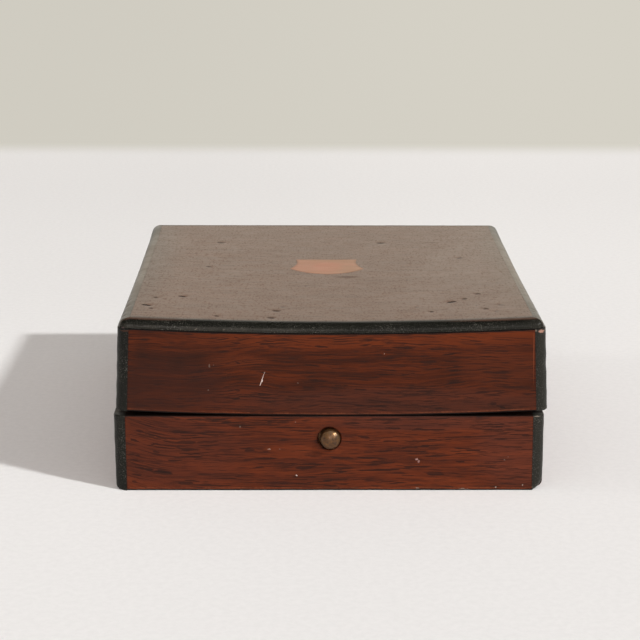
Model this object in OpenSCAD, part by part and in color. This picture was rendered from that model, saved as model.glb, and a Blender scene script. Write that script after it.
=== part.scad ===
// Wooden box: mahogany base and hinged lid with ebonised edgings, an inlaid shield and a push button catch.
// Millimetres, +Z up, +X to the right, the front at -Y, the origin under the middle of the base.

/* [Box] */
// Width of the base across its front
box_w = 140; // [115:1:200]
// Depth of the base from front to back
box_d = 165; // [125:1:220]
// Height of the base
base_h = 25.5; // [24:0.5:40]
// Height of the lid over the seam, at the middle of its front
lid_h = 30.5; // [22:0.5:45]
// Thickness of the four side boards
board_t = 6; // [5.5:0.1:8]
// Thickness of the top board
top_t = 5; // [4:0.1:8]
// Thickness of the floor board
floor_t = 4; // [3:0.1:4.4]

/* [Edging] */
// Width of the ebonised edging on each face
edging_w = 3.4; // [2.6:0.1:4.2]
// Height of the top edging on the side faces
top_edging_h = 3.1; // [2.6:0.1:3.6]
// Flat left on the edging beside its rounding
edging_land = 0.4; // [0.2:0.1:0.8]

/* [Age] */
// Rise of the lid's sprung front corners over its middle
lid_spring = 1.8; // [0:0.1:3]
// Shift of the lid to the right of the base
lid_shift = 0.8; // [0:0.1:1.5]

/* [Inlay] */
// Width of the shield at its ears
inlay_w = 26.8; // [15:0.1:40]
// Width of the shield's straight upper edge
inlay_top_w = 22.4; // [12:0.1:26]
// Height of the shield from its point to its upper edge
inlay_h = 24.6; // [15:0.1:40]
// Height of the ears over the point
inlay_ear_h = 8.6; // [5:0.1:12]
// Hollow of each side between the upper corner and the ear
inlay_hollow = 1.5; // [0.5:0.1:2.5]
// Swell of the lower edge on each side of the point
inlay_swell = 1.6; // [0.5:0.1:2.5]
// Distance of the shield's middle behind the middle of the lid
inlay_back = 1.9; // [-10:0.1:10]
// Thickness of the shield
inlay_t = 1.2; // [0.8:0.1:2]

/* [Hinges] */
// Distance of each hinge's middle from the middle of the box
hinge_x = 42; // [20:1:44]
// Length of a hinge along the back
hinge_l = 20; // [14:1:26]
// Width of a hinge leaf across the rim
leaf_w = 5.2; // [4.4:0.1:5.4]
// Thickness of a hinge leaf
leaf_t = 0.8; // [0.6:0.1:1.2]
// Radius of the hinge knuckles
knuckle_r = 1.8; // [1.5:0.1:2.5]
// Radius of the hinge pin
pin_r = 0.8; // [0.5:0.1:1]
// Radius of the shank of a hinge screw
hinge_screw_r = 0.6; // [0.4:0.1:0.8]
// Radius of the head of a hinge screw
hinge_screw_head_r = 1.2; // [1:0.1:1.5]
// Length of a hinge screw
hinge_screw_l = 7; // [5:0.5:10]
// Distance of a hinge screw from its hinge's middle
hinge_screw_x = 6; // [5.5:0.1:8]
// Length of the lid's knuckle, between the two of the base
lid_knuckle_l = 6.4; // [4:0.1:9]

/* [Catch] */
// Radius of the push button
button_r = 3.2; // [2.5:0.1:4]
// Distance of the button's middle under the top of the base
button_down = 7.7; // [7:0.1:8.4]
// How far the button stands out of the front
button_out = 3; // [2.2:0.1:5]
// Travel of the button
button_travel = 1.6; // [1:0.1:1.8]
// Radius of the button's tail, which pushes the catch spring
button_tail_r = 1.6; // [1:0.1:2.4]
// Radius of the button's inner collar
collar_r = 4.2; // [4.2:0.1:5]
// Thickness of the button's inner collar
collar_t = 1.2; // [0.8:0.1:1.4]
// Width of the catch spring
spring_w = 10; // [8:0.5:12]
// Thickness of the catch spring
spring_t = 0.8; // [0.5:0.1:1]
// Height of the spring's lower end over the floor
spring_foot = 1.2; // [0.5:0.1:1.5]
// Height of the spring's upper end over the seam
spring_top = 6.6; // [6.2:0.1:8]
// Reach of the spring's nib
nib_reach = 1.5; // [1.2:0.1:1.8]
// Height of the nib
nib_h = 1.8; // [1.4:0.1:2.2]
// Width of the nib
nib_w = 7; // [5:0.5:7.5]
// Width of the keeper plate in the lid
keeper_w = 17; // [17:0.5:22]
// Height of the keeper plate
keeper_h = 8.6; // [8:0.1:10]
// Thickness of the keeper plate
keeper_t = 1; // [0.8:0.1:1.2]
// Radius of the shank of a catch screw
catch_screw_r = 0.7; // [0.5:0.1:0.8]
// Radius of the head of a catch screw
catch_screw_head_r = 1.4; // [1.2:0.1:1.5]
// Length of a catch screw under its head
catch_screw_l = 4; // [3:0.1:4.4]

/* [Hidden] */

// Running clearance of the hinge pin in the lid's knuckle, and the gap between knuckles
pin_clear = 0.05;
knuckle_gap = 0.15;
// Gap between a knuckle and the back of the box
barrel_gap = 0.1;
// Clearance round a screw shank in brass, round the button, and round what moves near the catch
screw_clear = 0.05;
button_clear = 0.1;
catch_clear = 0.3;
// Chamfer at the mouth of the button's hole, and the rounding of its head
mouth_chamfer = 0.5;
button_round = 0.7;
button_dome = 0.35;
// Metal left between a catch screw's head and the edge of its plate
screw_margin = 0.4;
// Overlap of cuts past the faces that they open
cut = 1;
// Steps of the bend along x and y, and of each small arc
bend_steps = 20;
side_steps = 16;
arc_steps = 6;
// Share of its last step at which a rounded edging runs into the top
last_share = 0.4;
// How far short of a corner the bend's divisions end
corner_margin = 2;

half_w = box_w / 2;
half_d = box_d / 2;
edge_r = edging_w - edging_land;
edge_rise = top_edging_h - edging_land;
top_z = base_h + lid_h;
under_edging_z = top_z - top_edging_h;
under_top_z = top_z - top_t;
inner_front_y = -half_d + board_t;
inner_back_y = half_d - board_t;
hinge_y = half_d + barrel_gap + knuckle_r;
leaf_screw_y = half_d - leaf_w / 2;
button_z = base_h - button_down;
collar_y = inner_front_y - collar_t - button_travel;
spring_foot_z = floor_t + spring_foot;
spring_top_z = base_h + spring_top;
nib_z = spring_top_z - nib_h;
keeper_z = base_h + (spring_top - nib_h / 2) - keeper_h / 2;
keeper_y = inner_front_y - catch_clear;
spring_screw_x = spring_w / 2 - catch_screw_head_r - screw_margin;
spring_screw_z = spring_foot_z + catch_screw_head_r + screw_margin;
keeper_screw_x = keeper_w / 2 - catch_screw_head_r - screw_margin;

mahogany = [0.36, 0.16, 0.11];
ebonised = [0.12, 0.13, 0.12];
fruitwood = [0.7, 0.53, 0.42];
brass = [0.62, 0.48, 0.3];
steel = [0.45, 0.45, 0.44];

// Where a point of the straight lid lies on the sprung one: the front bows up towards its ends and the
// ends lean with it, while the back, held by the hinges, stays straight
function sprung(p) =
  let (
    share = max(0, (inner_back_y - p[1]) / (inner_back_y + half_d)),
    rise = lid_spring * (1 - pow(1 - share, 2)),
    along = p[0] / half_w
  )
  [p[0] - (p[2] - base_h) * 2 * rise * along / half_w, p[1], p[2] + rise * along * along];

// A point by its distance along a side, its depth behind that side's face and its height
function on_side(side, along, off, z) =
  side == "front" ? [along, -half_d + off, z] :
  side == "back" ? [-along, half_d - off, z] :
  [half_w - off, along, z];

function across(side) = side == "front" || side == "back";
function side_half(side) = across(side) ? half_w : half_d;
function side_turn(side) = side == "front" ? 0 : side == "right" ? 90 : side == "back" ? 180 : 270;
function side_reach(side) = across(side) ? half_d : half_w;

// Even places along a side, clear of its corners
function side_places(side) =
  let (
    end = side_half(side) - board_t - corner_margin,
    steps = across(side) ? bend_steps : side_steps
  )
  [for (i = [0:steps]) end * (2 * i / steps - 1)];

function fan(count) = [for (i = [1:count - 2]) [0, i, i + 1]];
function ladder(count) =
  let (half = count / 2)
  [for (i = [0:half - 2]) each [[i, i + 1, count - 2 - i], [i, count - 2 - i, count - 1 - i]]];

// Points on an arc from a to b that swells by the given height to the right of the way there
function arc_between(a, b, swell) =
  let (
    chord = norm(b - a),
    radius = (chord * chord / 4 + swell * swell) / (2 * abs(swell)),
    middle = (a + b) / 2,
    side = [b[1] - a[1], a[0] - b[0]] / chord,
    centre = middle - side * (radius - abs(swell)) * sign(swell),
    start = atan2(a[1] - centre[1], a[0] - centre[0]),
    turn = 2 * asin(chord / 2 / radius) * sign(swell)
  )
  [for (i = [1:arc_steps - 1])
    centre + radius * [cos(start + turn * i / arc_steps), sin(start + turn * i / arc_steps)]];

// A closed solid through rings of points, each ring seen anticlockwise from the far end
module ring_solid(rings, cap) {
  count = len(rings[0]);
  last = (len(rings) - 1) * count;
  walls = [for (r = [0:len(rings) - 2], i = [0:count - 1])
    let (a = r * count + i, b = r * count + (i + 1) % count)
    each [[a, a + count, b + count], [a, b + count, b]]];
  far = [for (t = cap) [last + t[2], last + t[1], last + t[0]]];
  polyhedron([for (ring = rings) each ring], concat(walls, cap, far));
}

module to_side(side) {
  rotate([0, 0, side_turn(side)]) translate([0, -side_reach(side), 0]) children();
}

module to_corner(right, back) {
  mirror([right ? 0 : 1, 0, 0]) mirror([0, back ? 0 : 1, 0]) translate([half_w, half_d, 0]) children();
}

// A side board, mitred behind the square of edging at each end
module straight_board(side, h) {
  long = side_half(side) - edging_w;
  short = side_half(side) - board_t;
  outline = [[-long, 0], [long, 0], [long, edging_w], [short, board_t], [-short, board_t], [-long, edging_w]];
  to_side(side) linear_extrude(h) polygon(outline);
}

module base_board(side) {
  difference() {
    straight_board(side, base_h);
    floor_board(cut);
  }
}

module floor_board(below = 0) {
  reach = [half_w - edging_w, half_d - edging_w];
  translate([-reach[0], -reach[1], -below]) cube([2 * reach[0], 2 * reach[1], floor_t + below]);
}

// Corner edging: a square strip whose outer edge is rounded
module edging_post(h) {
  linear_extrude(h) difference() {
    translate([-edging_w, -edging_w]) square(edging_w);
    difference() {
      translate([-edge_r, -edge_r]) square(edge_r + cut);
      translate([-edge_r, -edge_r]) circle(edge_r, $fn = 48);
    }
  }
}

module sprung_post() {
  corner = [half_w - edge_r, -half_d + edge_r];
  plan = concat(
    [[half_w - edging_w, -half_d + edging_w], [half_w - edging_w, -half_d]],
    [for (i = [0:arc_steps]) corner + edge_r * [sin(90 * i / arc_steps), -cos(90 * i / arc_steps)]],
    [[half_w, -half_d + edging_w]]);
  rings = [for (z = [base_h, under_edging_z]) [for (p = plan) sprung([p[0], p[1], z])]];
  ring_solid(rings, fan(len(plan)));
}

// A lid board that follows the sprung front: its outer part runs up to the edging, and its inner part
// carries the top
function board_ring(side, outer, inner) =
  let (section = [
    [outer, edging_w, under_top_z], [outer, edging_w, under_edging_z], [outer, 0, under_edging_z],
    [outer, 0, base_h], [outer, edging_w, base_h], [inner, board_t, base_h], [inner, board_t, under_top_z]])
  [for (p = section) sprung(on_side(side, p[0], p[1], p[2]))];

module sprung_board(side) {
  long = side_half(side) - edging_w;
  short = side_half(side) - board_t;
  rings = concat(
    [board_ring(side, -long, -short)],
    [for (s = side_places(side)) board_ring(side, s, s)],
    [board_ring(side, long, short)]);
  ring_solid(rings, fan(len(rings[0])));
}

// Top edging: a quarter round strip, mitred at its ends where it turns the corner
function edging_ring(side, outer, inner, turn) =
  let (
    middle = sign(outer) * min(abs(outer), side_half(side) - edge_r),
    swing = turn * sign(outer),
    places = concat([arc_steps - 1 + last_share], [for (i = [arc_steps - 1:-1:0]) i]),
    curve = [for (i = places) [edge_r * cos(90 * i / arc_steps), edge_rise * sin(90 * i / arc_steps)]],
    round = concat(curve, [[edge_r, edge_rise - top_edging_h]])
  )
  concat(
    [for (z = [under_edging_z, top_z]) sprung(on_side(side, inner, edging_w, z))],
    [for (p = round) sprung(on_side(side,
      middle + p[0] * sin(swing), edge_r - p[0] * cos(swing), top_z - edge_rise + p[1]))]);

module top_edging(side) {
  long = side_half(side) - edging_w;
  corner = side_half(side) - edge_r;
  shares = [for (i = [0:arc_steps]) i / arc_steps];
  near_end = [for (i = [arc_steps:-1:0]) let (s = shares[i])
    edging_ring(side, -corner, edging_land * (1 - s) - long, 45 * s)];
  far_end = [for (s = shares) edging_ring(side, corner, long - edging_land * (1 - s), 45 * s)];
  middle = [for (s = side_places(side)) edging_ring(side, s, s, 0)];
  rings = concat(near_end, middle, far_end);
  ring_solid(rings, fan(len(rings[0])));
}

// The shield's outline: a straight upper edge, hollow sides, ears and a swelling lower edge
module shield() {
  top = inlay_h / 2;
  ear = -inlay_h / 2 + inlay_ear_h;
  side = concat(
    [[0, -inlay_h / 2]],
    arc_between([0, -inlay_h / 2], [inlay_w / 2, ear], inlay_swell),
    [[inlay_w / 2, ear]],
    arc_between([inlay_w / 2, ear], [inlay_top_w / 2, top], -inlay_hollow),
    [[inlay_top_w / 2, top]]);
  other = [for (i = [len(side) - 1:-1:1]) [-side[i][0], side[i][1]]];
  translate([0, inlay_back]) polygon(concat(side, other));
}

// Hinge leaf: a plate let into the rim, with its own knuckles round the pin
module hinge_leaf(x, lower) {
  plate_z = lower ? base_h - leaf_t : base_h;
  middle = lid_knuckle_l / 2;
  ends = middle + knuckle_gap;
  own = lower ? [[-hinge_l / 2, -ends], [ends, hinge_l / 2]] : [[-middle, middle]];
  bore_r = lower ? pin_r : pin_r + pin_clear;
  color(brass) difference() {
    union() {
      translate([x - hinge_l / 2, half_d - leaf_w, plate_z]) cube([hinge_l, leaf_w, leaf_t]);
      for (k = own) {
        l = k[1] - k[0];
        translate([x + k[0], half_d - leaf_w, plate_z]) cube([l, hinge_y - half_d + leaf_w, leaf_t]);
        translate([x + k[0], hinge_y, base_h]) rotate([0, 90, 0]) cylinder(l, r = knuckle_r, $fn = 48);
      }
    }
    translate([x - hinge_l, hinge_y, base_h]) rotate([0, 90, 0]) cylinder(2 * hinge_l, r = bore_r, $fn = 48);
    hinge_screw_pair(x, lower, screw_clear);
  }
}

module hinge_pin(x) {
  color(steel) translate([x - hinge_l / 2, hinge_y, base_h]) rotate([0, 90, 0])
    cylinder(hinge_l, r = pin_r, $fn = 48);
}

module leaf_recess(x, lower) {
  translate([x - hinge_l / 2, half_d - leaf_w, lower ? base_h - leaf_t : base_h - cut])
    cube([hinge_l, leaf_w + cut, leaf_t + cut]);
}

// Countersunk screw along z, its head's face at z = 0 and its point below
module countersunk_screw(head_r, shank_r, l, clear = 0) {
  cone = head_r - shank_r;
  translate([0, 0, -cone]) cylinder(cone, r1 = shank_r + clear, r2 = head_r + clear, $fn = 32);
  translate([0, 0, -l - clear]) cylinder(l + clear, r = shank_r + clear, $fn = 32);
}

module hinge_screw_pair(x, lower, clear = 0) {
  for (side = [-1, 1]) {
    translate([x + side * hinge_screw_x, leaf_screw_y, base_h]) rotate([lower ? 0 : 180, 0, 0])
      countersunk_screw(hinge_screw_head_r, hinge_screw_r, hinge_screw_l, clear);
  }
}

module hinge_screws(lower) {
  color(brass) for (x = [-hinge_x, hinge_x]) hinge_screw_pair(x, lower);
}

// What is turned about the button's axis, with z = 0 on the front face and z rising inwards
module about_button() {
  translate([0, -half_d, button_z]) rotate([-90, 0, 0]) children();
}

module button_bore() {
  bore_r = button_r + button_clear;
  about_button() {
    translate([0, 0, -cut]) cylinder(board_t + 2 * cut, r = bore_r, $fn = 64);
    cylinder(mouth_chamfer, r1 = bore_r + mouth_chamfer, r2 = bore_r, $fn = 64);
    translate([0, 0, collar_y + half_d]) cylinder(board_t, r = collar_r + button_clear, $fn = 64);
  }
}

module catch_screw_pair(x, z, y, clear = 0) {
  for (side = [-1, 1]) {
    translate([side * x, y, z]) rotate([-90, 0, 0])
      countersunk_screw(catch_screw_head_r, catch_screw_r, catch_screw_l, clear);
  }
}

module keeper_window(deep) {
  w = nib_w + 2 * catch_clear;
  translate([-w / 2, keeper_y - deep, nib_z - catch_clear]) cube([w, deep + cut, nib_h + 2 * catch_clear]);
}

module base_front() {
  color(mahogany) difference() {
    base_board("front");
    button_bore();
    catch_screw_pair(spring_screw_x, spring_screw_z, inner_front_y + spring_t);
  }
}

module base_back() {
  color(mahogany) difference() {
    base_board("back");
    for (x = [-hinge_x, hinge_x]) {
      leaf_recess(x, true);
      hinge_screw_pair(x, true);
    }
  }
}

module base_left() {
  color(mahogany) base_board("left");
}

module base_right() {
  color(mahogany) base_board("right");
}

module base_floor() {
  color(mahogany) floor_board();
}

module base_edging(right, back) {
  color(ebonised) to_corner(right, back) edging_post(base_h);
}

module lid_front() {
  color(mahogany) difference() {
    translate([lid_shift, 0, 0]) sprung_board("front");
    translate([-keeper_w / 2, keeper_y - keeper_t, base_h - cut])
      cube([keeper_w, keeper_t + catch_clear + cut, keeper_z - base_h + keeper_h + cut]);
    keeper_window(nib_reach + catch_clear);
    catch_screw_pair(keeper_screw_x, keeper_z + keeper_h / 2, keeper_y);
  }
}

module lid_back() {
  color(mahogany) difference() {
    translate([lid_shift, 0, base_h]) straight_board("back", lid_h - top_edging_h);
    translate([lid_shift - half_w, inner_back_y - cut, under_top_z])
      cube([box_w, board_t - edging_w + cut, top_t]);
    for (x = [-hinge_x, hinge_x]) {
      leaf_recess(x, false);
      hinge_screw_pair(x, false);
    }
  }
}

module lid_left() {
  color(mahogany) translate([lid_shift, 0, 0]) mirror([1, 0, 0]) sprung_board("right");
}

module lid_right() {
  color(mahogany) translate([lid_shift, 0, 0]) sprung_board("right");
}

module lid_top() {
  long = half_w - edging_w;
  deep = half_d - edging_w;
  xs = concat([-long], side_places("front"), [long]);
  ys = concat([-deep], side_places("right"), [inner_back_y, deep]);
  rings = [for (x = xs) concat(
    [for (y = ys) sprung([x, y, under_top_z])],
    [for (i = [len(ys) - 1:-1:0]) sprung([x, ys[i], top_z])])];
  color(mahogany) difference() {
    translate([lid_shift, 0, 0]) ring_solid(rings, ladder(len(rings[0])));
    translate([lid_shift, 0, top_z - inlay_t]) linear_extrude(inlay_t + cut) shield();
  }
}

module lid_shield_inlay() {
  color(fruitwood) translate([lid_shift, 0, top_z - inlay_t]) linear_extrude(inlay_t) shield();
}

module lid_edging_front(right) {
  color(ebonised) translate([lid_shift, 0, 0]) mirror([right ? 0 : 1, 0, 0]) sprung_post();
}

module lid_edging_back(right) {
  color(ebonised) translate([lid_shift, 0, base_h]) to_corner(right, true) edging_post(lid_h - top_edging_h);
}

module lid_top_edging(side, mirrored = false) {
  color(ebonised) translate([lid_shift, 0, 0]) mirror([mirrored ? 1 : 0, 0, 0]) top_edging(side);
}

// Push button: a domed head, a stem that fills the hole and a collar that keeps it in
module push_button() {
  flat_r = button_r - button_round;
  face = -button_out;
  head = [for (i = [0:arc_steps]) let (a = 90 * i / arc_steps)
    [flat_r + button_round * sin(a), face + button_dome + button_round * (1 - cos(a))]];
  collar = collar_y + half_d;
  body = [[button_r, collar], [collar_r, collar], [collar_r, collar + collar_t],
    [button_tail_r, collar + collar_t], [button_tail_r, board_t], [0, board_t]];
  color(brass) about_button() rotate_extrude($fn = 64) polygon(concat([[0, face]], head, body));
}

// Catch spring: a strip screwed inside the base, with a nib that faces the front
module catch_spring() {
  nib = [[0, nib_z], [nib_reach, nib_z], [0, spring_top_z]];
  strip_h = spring_top_z - spring_foot_z;
  color(brass) difference() {
    union() {
      translate([-spring_w / 2, inner_front_y, spring_foot_z]) cube([spring_w, spring_t, strip_h]);
      translate([-nib_w / 2, inner_front_y, 0]) rotate([90, 0, 90]) linear_extrude(nib_w)
        polygon([for (p = nib) [-p[0], p[1]]]);
    }
    catch_screw_pair(spring_screw_x, spring_screw_z, inner_front_y + spring_t, screw_clear);
  }
}

module catch_spring_screws() {
  color(brass) catch_screw_pair(spring_screw_x, spring_screw_z, inner_front_y + spring_t);
}

// Keeper plate: let into the inside of the lid's front, with a window for the nib
module keeper_plate() {
  color(brass) difference() {
    translate([-keeper_w / 2, keeper_y - keeper_t, keeper_z]) cube([keeper_w, keeper_t, keeper_h]);
    keeper_window(keeper_t + cut);
    catch_screw_pair(keeper_screw_x, keeper_z + keeper_h / 2, keeper_y, screw_clear);
  }
}

module keeper_screws() {
  color(brass) catch_screw_pair(keeper_screw_x, keeper_z + keeper_h / 2, keeper_y);
}

base_front();
base_back();
base_left();
base_right();
base_floor();
base_edging(false, false);  // base_edging_front_left
base_edging(true, false);  // base_edging_front_right
base_edging(false, true);  // base_edging_back_left
base_edging(true, true);  // base_edging_back_right
lid_front();
lid_back();
lid_left();
lid_right();
lid_top();
lid_shield_inlay();
lid_edging_front(false);  // lid_edging_front_left
lid_edging_front(true);  // lid_edging_front_right
lid_edging_back(false);  // lid_edging_back_left
lid_edging_back(true);  // lid_edging_back_right
lid_top_edging("front");  // top_edging_front
lid_top_edging("back");  // top_edging_back
lid_top_edging("right", true);  // top_edging_left
lid_top_edging("right");  // top_edging_right
hinge_leaf(-hinge_x, true);  // left_hinge_base_leaf
hinge_leaf(-hinge_x, false);  // left_hinge_lid_leaf
hinge_pin(-hinge_x);  // left_hinge_pin
hinge_leaf(hinge_x, true);  // right_hinge_base_leaf
hinge_leaf(hinge_x, false);  // right_hinge_lid_leaf
hinge_pin(hinge_x);  // right_hinge_pin
hinge_screws(true);  // hinge_base_screws
hinge_screws(false);  // hinge_lid_screws
push_button();
catch_spring();
catch_spring_screws();
keeper_plate();
keeper_screws();
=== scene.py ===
"""The looks of the wooden box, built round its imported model.

Worn mahogany boards, ebonised edgings, an inlaid shield, brass hinges and a push button catch, standing on
a pale table in soft studio light. Shapes are worked out in millimetres and turned into metres at the end, in
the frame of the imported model: +Z up, the front at -Y.
"""

import logging
import math
from collections.abc import Callable, Sequence
from dataclasses import dataclass, field
from enum import Enum

import bmesh
import bpy
import numpy as np
from mathutils import Matrix, Vector


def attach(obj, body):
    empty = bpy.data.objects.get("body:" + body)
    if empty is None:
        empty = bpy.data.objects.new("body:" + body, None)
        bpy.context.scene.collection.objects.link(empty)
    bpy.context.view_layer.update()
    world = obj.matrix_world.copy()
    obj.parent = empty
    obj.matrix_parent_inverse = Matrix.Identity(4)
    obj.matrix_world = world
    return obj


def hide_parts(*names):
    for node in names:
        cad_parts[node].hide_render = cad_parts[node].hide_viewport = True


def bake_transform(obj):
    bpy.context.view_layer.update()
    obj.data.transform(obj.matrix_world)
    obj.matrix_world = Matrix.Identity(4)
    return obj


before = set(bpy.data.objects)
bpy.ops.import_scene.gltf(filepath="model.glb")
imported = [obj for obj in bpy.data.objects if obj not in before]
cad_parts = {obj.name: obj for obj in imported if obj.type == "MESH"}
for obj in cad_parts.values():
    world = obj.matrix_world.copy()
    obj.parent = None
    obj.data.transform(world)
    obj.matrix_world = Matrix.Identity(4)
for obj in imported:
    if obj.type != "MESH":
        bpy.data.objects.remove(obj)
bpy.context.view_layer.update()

LOG = logging.getLogger("wooden_box")
MM = 0.001

Point = tuple[float, float, float]
Colour = tuple[float, float, float, float]
ORIGIN = (0.0, 0.0, 0.0)
Array = np.ndarray
Piece = bpy.types.Object
Material = bpy.types.Material
Node = bpy.types.Node
Socket = bpy.types.NodeSocket
Tree = bpy.types.NodeTree
Way = Callable[[Array], Array]


class Body(Enum):
    """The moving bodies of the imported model."""

    BASE = "base"
    LID = "lid"
    BUTTON = "button"


class Slot(Enum):
    """The record's material slots."""

    MAHOGANY = "mahogany"
    EBONISED = "ebonised_wood"
    INLAY = "inlay_wood"
    BRASS = "brass"


class Side(Enum):
    """The four sides of the box, by the turn that brings the front to them."""

    FRONT = 0
    RIGHT = 90
    BACK = 180
    LEFT = 270


class Grain(Enum):
    """How the grain of a board lies: which axes run along it, across it and through it."""

    SIDEWAYS_UPRIGHT = ("X", "Z", "Y")
    SIDEWAYS_FLAT = ("X", "Y", "Z")
    DEEP_UPRIGHT = ("Y", "Z", "X")
    DEEP_FLAT = ("Y", "X", "Z")
    UPRIGHT = ("Z", "X", "Y")


def linear(red: int, green: int, blue: int) -> Colour:
    """A colour given as it is read off a screen, 0 to 255 each, as the shader wants it."""
    shares = [c / 255 for c in (red, green, blue)]
    return (*(s / 12.92 if s <= 0.04045 else ((s + 0.055) / 1.055) ** 2.4 for s in shares), 1.0)


@dataclass(frozen=True)
class BoxSizes:
    """The box's own sizes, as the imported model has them, in millimetres."""

    width: float = 140.0
    depth: float = 165.0
    base_h: float = 25.5
    lid_h: float = 30.5
    board_t: float = 6.0
    top_t: float = 5.0
    floor_t: float = 4.0
    edging_w: float = 3.8
    top_edging_h: float = 3.1
    edging_land: float = 0.4
    lid_spring: float = 1.8
    lid_shift: float = 0.8

    @property
    def half_w(self) -> float:
        """Half the width."""
        return self.width / 2

    @property
    def half_d(self) -> float:
        """Half the depth."""
        return self.depth / 2

    @property
    def top_z(self) -> float:
        """Height of the lid's top over its middle."""
        return self.base_h + self.lid_h

    @property
    def under_edging_z(self) -> float:
        """Height of the joint under the top edging."""
        return self.top_z - self.top_edging_h

    @property
    def under_top_z(self) -> float:
        """Height of the underside of the top board."""
        return self.top_z - self.top_t

    @property
    def inner_back_y(self) -> float:
        """Where the inside of the back lies."""
        return self.half_d - self.board_t

    @property
    def inner_front_y(self) -> float:
        """Where the inside of the front lies."""
        return self.board_t - self.half_d

    def side_half(self, side: Side) -> float:
        """Half the length of a side."""
        return self.half_w if side in (Side.FRONT, Side.BACK) else self.half_d

    def side_reach(self, side: Side) -> float:
        """How far a side's face stands from the middle."""
        return self.half_d if side in (Side.FRONT, Side.BACK) else self.half_w

    def on_side(self, side: Side, along: Array, off: Array, z: Array) -> Array:
        """Points by their place on a side.

        Args:
            side: The side.
            along: Distance along the side from its middle.
            off: Depth behind the side's face.
            z: Height.

        Returns:
            The points, with x, y and z in the last axis.
        """
        along, off, z = np.broadcast_arrays(along, off, z)
        turn = math.radians(side.value)
        out = self.side_reach(side) - off
        x = along * math.cos(turn) + out * math.sin(turn)
        y = along * math.sin(turn) - out * math.cos(turn)
        return np.stack([x, y, z], axis=-1)

    def sprung(self, points: Array) -> Array:
        """Where points of the straight lid lie on the sprung one, whose front corners have risen.

        Args:
            points: Points of the straight lid.

        Returns:
            The points on the sprung and shifted lid.
        """
        x, y, z = points[..., 0], points[..., 1], points[..., 2]
        share = np.maximum(0, (self.inner_back_y - y) / (self.inner_back_y + self.half_d))
        rise = self.lid_spring * (1 - (1 - share) ** 2)
        along = x / self.half_w
        lean = (z - self.base_h) * 2 * rise * along / self.half_w * np.where(along < 0, 0.8, 1.0)
        aside = self.lid_shift + 0.1 * np.maximum(along, 0) + 0.4 * along * np.clip((y - 50) / 30, 0, 1)
        return np.stack([x - lean + aside, y, z + rise * along**2], axis=-1)

    def straight(self, points: Array) -> Array:
        """Points of the base, whose foot stands a little to the right of its rim."""
        aside = 0.25 * (1 - points[..., 2] / self.base_h)
        return points + np.stack([aside, *np.zeros((2, len(points)))], axis=-1)


BOX = BoxSizes()


@dataclass(frozen=True)
class Dent:
    """A small hollow knocked into a surface: its middle, its reach, its depth and the way that it goes in."""

    at: Point
    reach: float
    depth: float
    way: Point


@dataclass(frozen=True)
class Spot:
    """A mark: its middle, its reach, its colour, its strength, its even core and how it dulls the polish."""

    at: Point
    reach: Point
    colour: Colour
    strength: float = 1.0
    core: float = 0.55
    dull: float = 0.0


@dataclass(frozen=True)
class Score:
    """A scratch in the finish, from one point to another, with its width and colour."""

    start: Point
    end: Point
    width: float
    colour: Colour


@dataclass
class Skin:
    """A mesh in the making: its points in millimetres, its faces, and how each point has been used."""

    points: Array
    faces: list[tuple[int, ...]]
    arris: Array
    inside: Array

    def dented(self, dents: Sequence[Dent]) -> "Skin":
        """Presses hollows into the skin.

        Args:
            dents: The hollows.

        Returns:
            The skin itself.
        """
        for dent in dents:
            gap = np.linalg.norm(self.points - np.array(dent.at), axis=1)
            near = gap < dent.reach * 3
            push = dent.depth * np.exp(-((gap[near] / dent.reach) ** 2))
            self.points[near] += push[:, None] * np.array(dent.way)
        return self

    def rippled(self, height: float, length: float, seed: int) -> "Skin":
        """Moves the points a little each way, as hand work and age leave a surface.

        Args:
            height: The most that a point moves.
            length: How far apart the ripples are.
            seed: The seed of their directions.

        Returns:
            The skin itself.
        """
        draw = np.random.default_rng(seed)
        waves = draw.normal(size=(9, 3))
        waves *= (2 * math.pi / length) / np.linalg.norm(waves, axis=1)[:, None]
        phases = draw.uniform(0, 2 * math.pi, size=(3, 9))
        swing = np.stack([np.sin(self.points @ waves.T + phase).sum(axis=1) for phase in phases], axis=1)
        self.points += swing * height / 5
        return self

    def moved(self, way: Way) -> "Skin":
        """Passes all the points through a function of place."""
        self.points = way(self.points)
        return self


def skin_of_rings(rings: Array, arris: Array | float = 0.0, inside: Array | float = 0.0,
                  caps: Sequence[Sequence[int]] | None = None) -> Skin:
    """Joins rings of points into a closed skin.

    Args:
        rings: The rings, one after another, each with the same number of points.
        arris: How near each point of a ring is to a rubbed edge, 0 to 1.
        inside: Whether each point of a ring is on the inside of the box, 0 to 1.
        caps: The faces that close the first ring, by its points, or nothing for one face. The last is
            closed alike.

    Returns:
        The skin.
    """
    count, size = rings.shape[:2]
    here = np.arange(size)
    after = (here + 1) % size
    faces: list[tuple[int, ...]] = []
    for ring in range(count - 1):
        a, b = ring * size, (ring + 1) * size
        walls = np.stack([a + here, a + after, b + after, b + here], axis=1)
        faces.extend(map(tuple, walls.tolist()))
    last = (count - 1) * size
    for cap in caps or [range(size)]:
        faces.append(tuple(reversed(cap)))
        faces.append(tuple(last + c for c in cap))
    arris, inside = (np.tile(np.broadcast_to(values, size), count) for values in (arris, inside))
    return Skin(rings.reshape(-1, 3).astype(float), faces, arris, inside)


def shade(mesh: bpy.types.Mesh, crease: float) -> None:
    """Shades a mesh smooth between its creases, whose edges turn by so many degrees or more."""
    mesh.shade_smooth()
    mesh.set_sharp_from_angle(angle=math.radians(crease))


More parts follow.
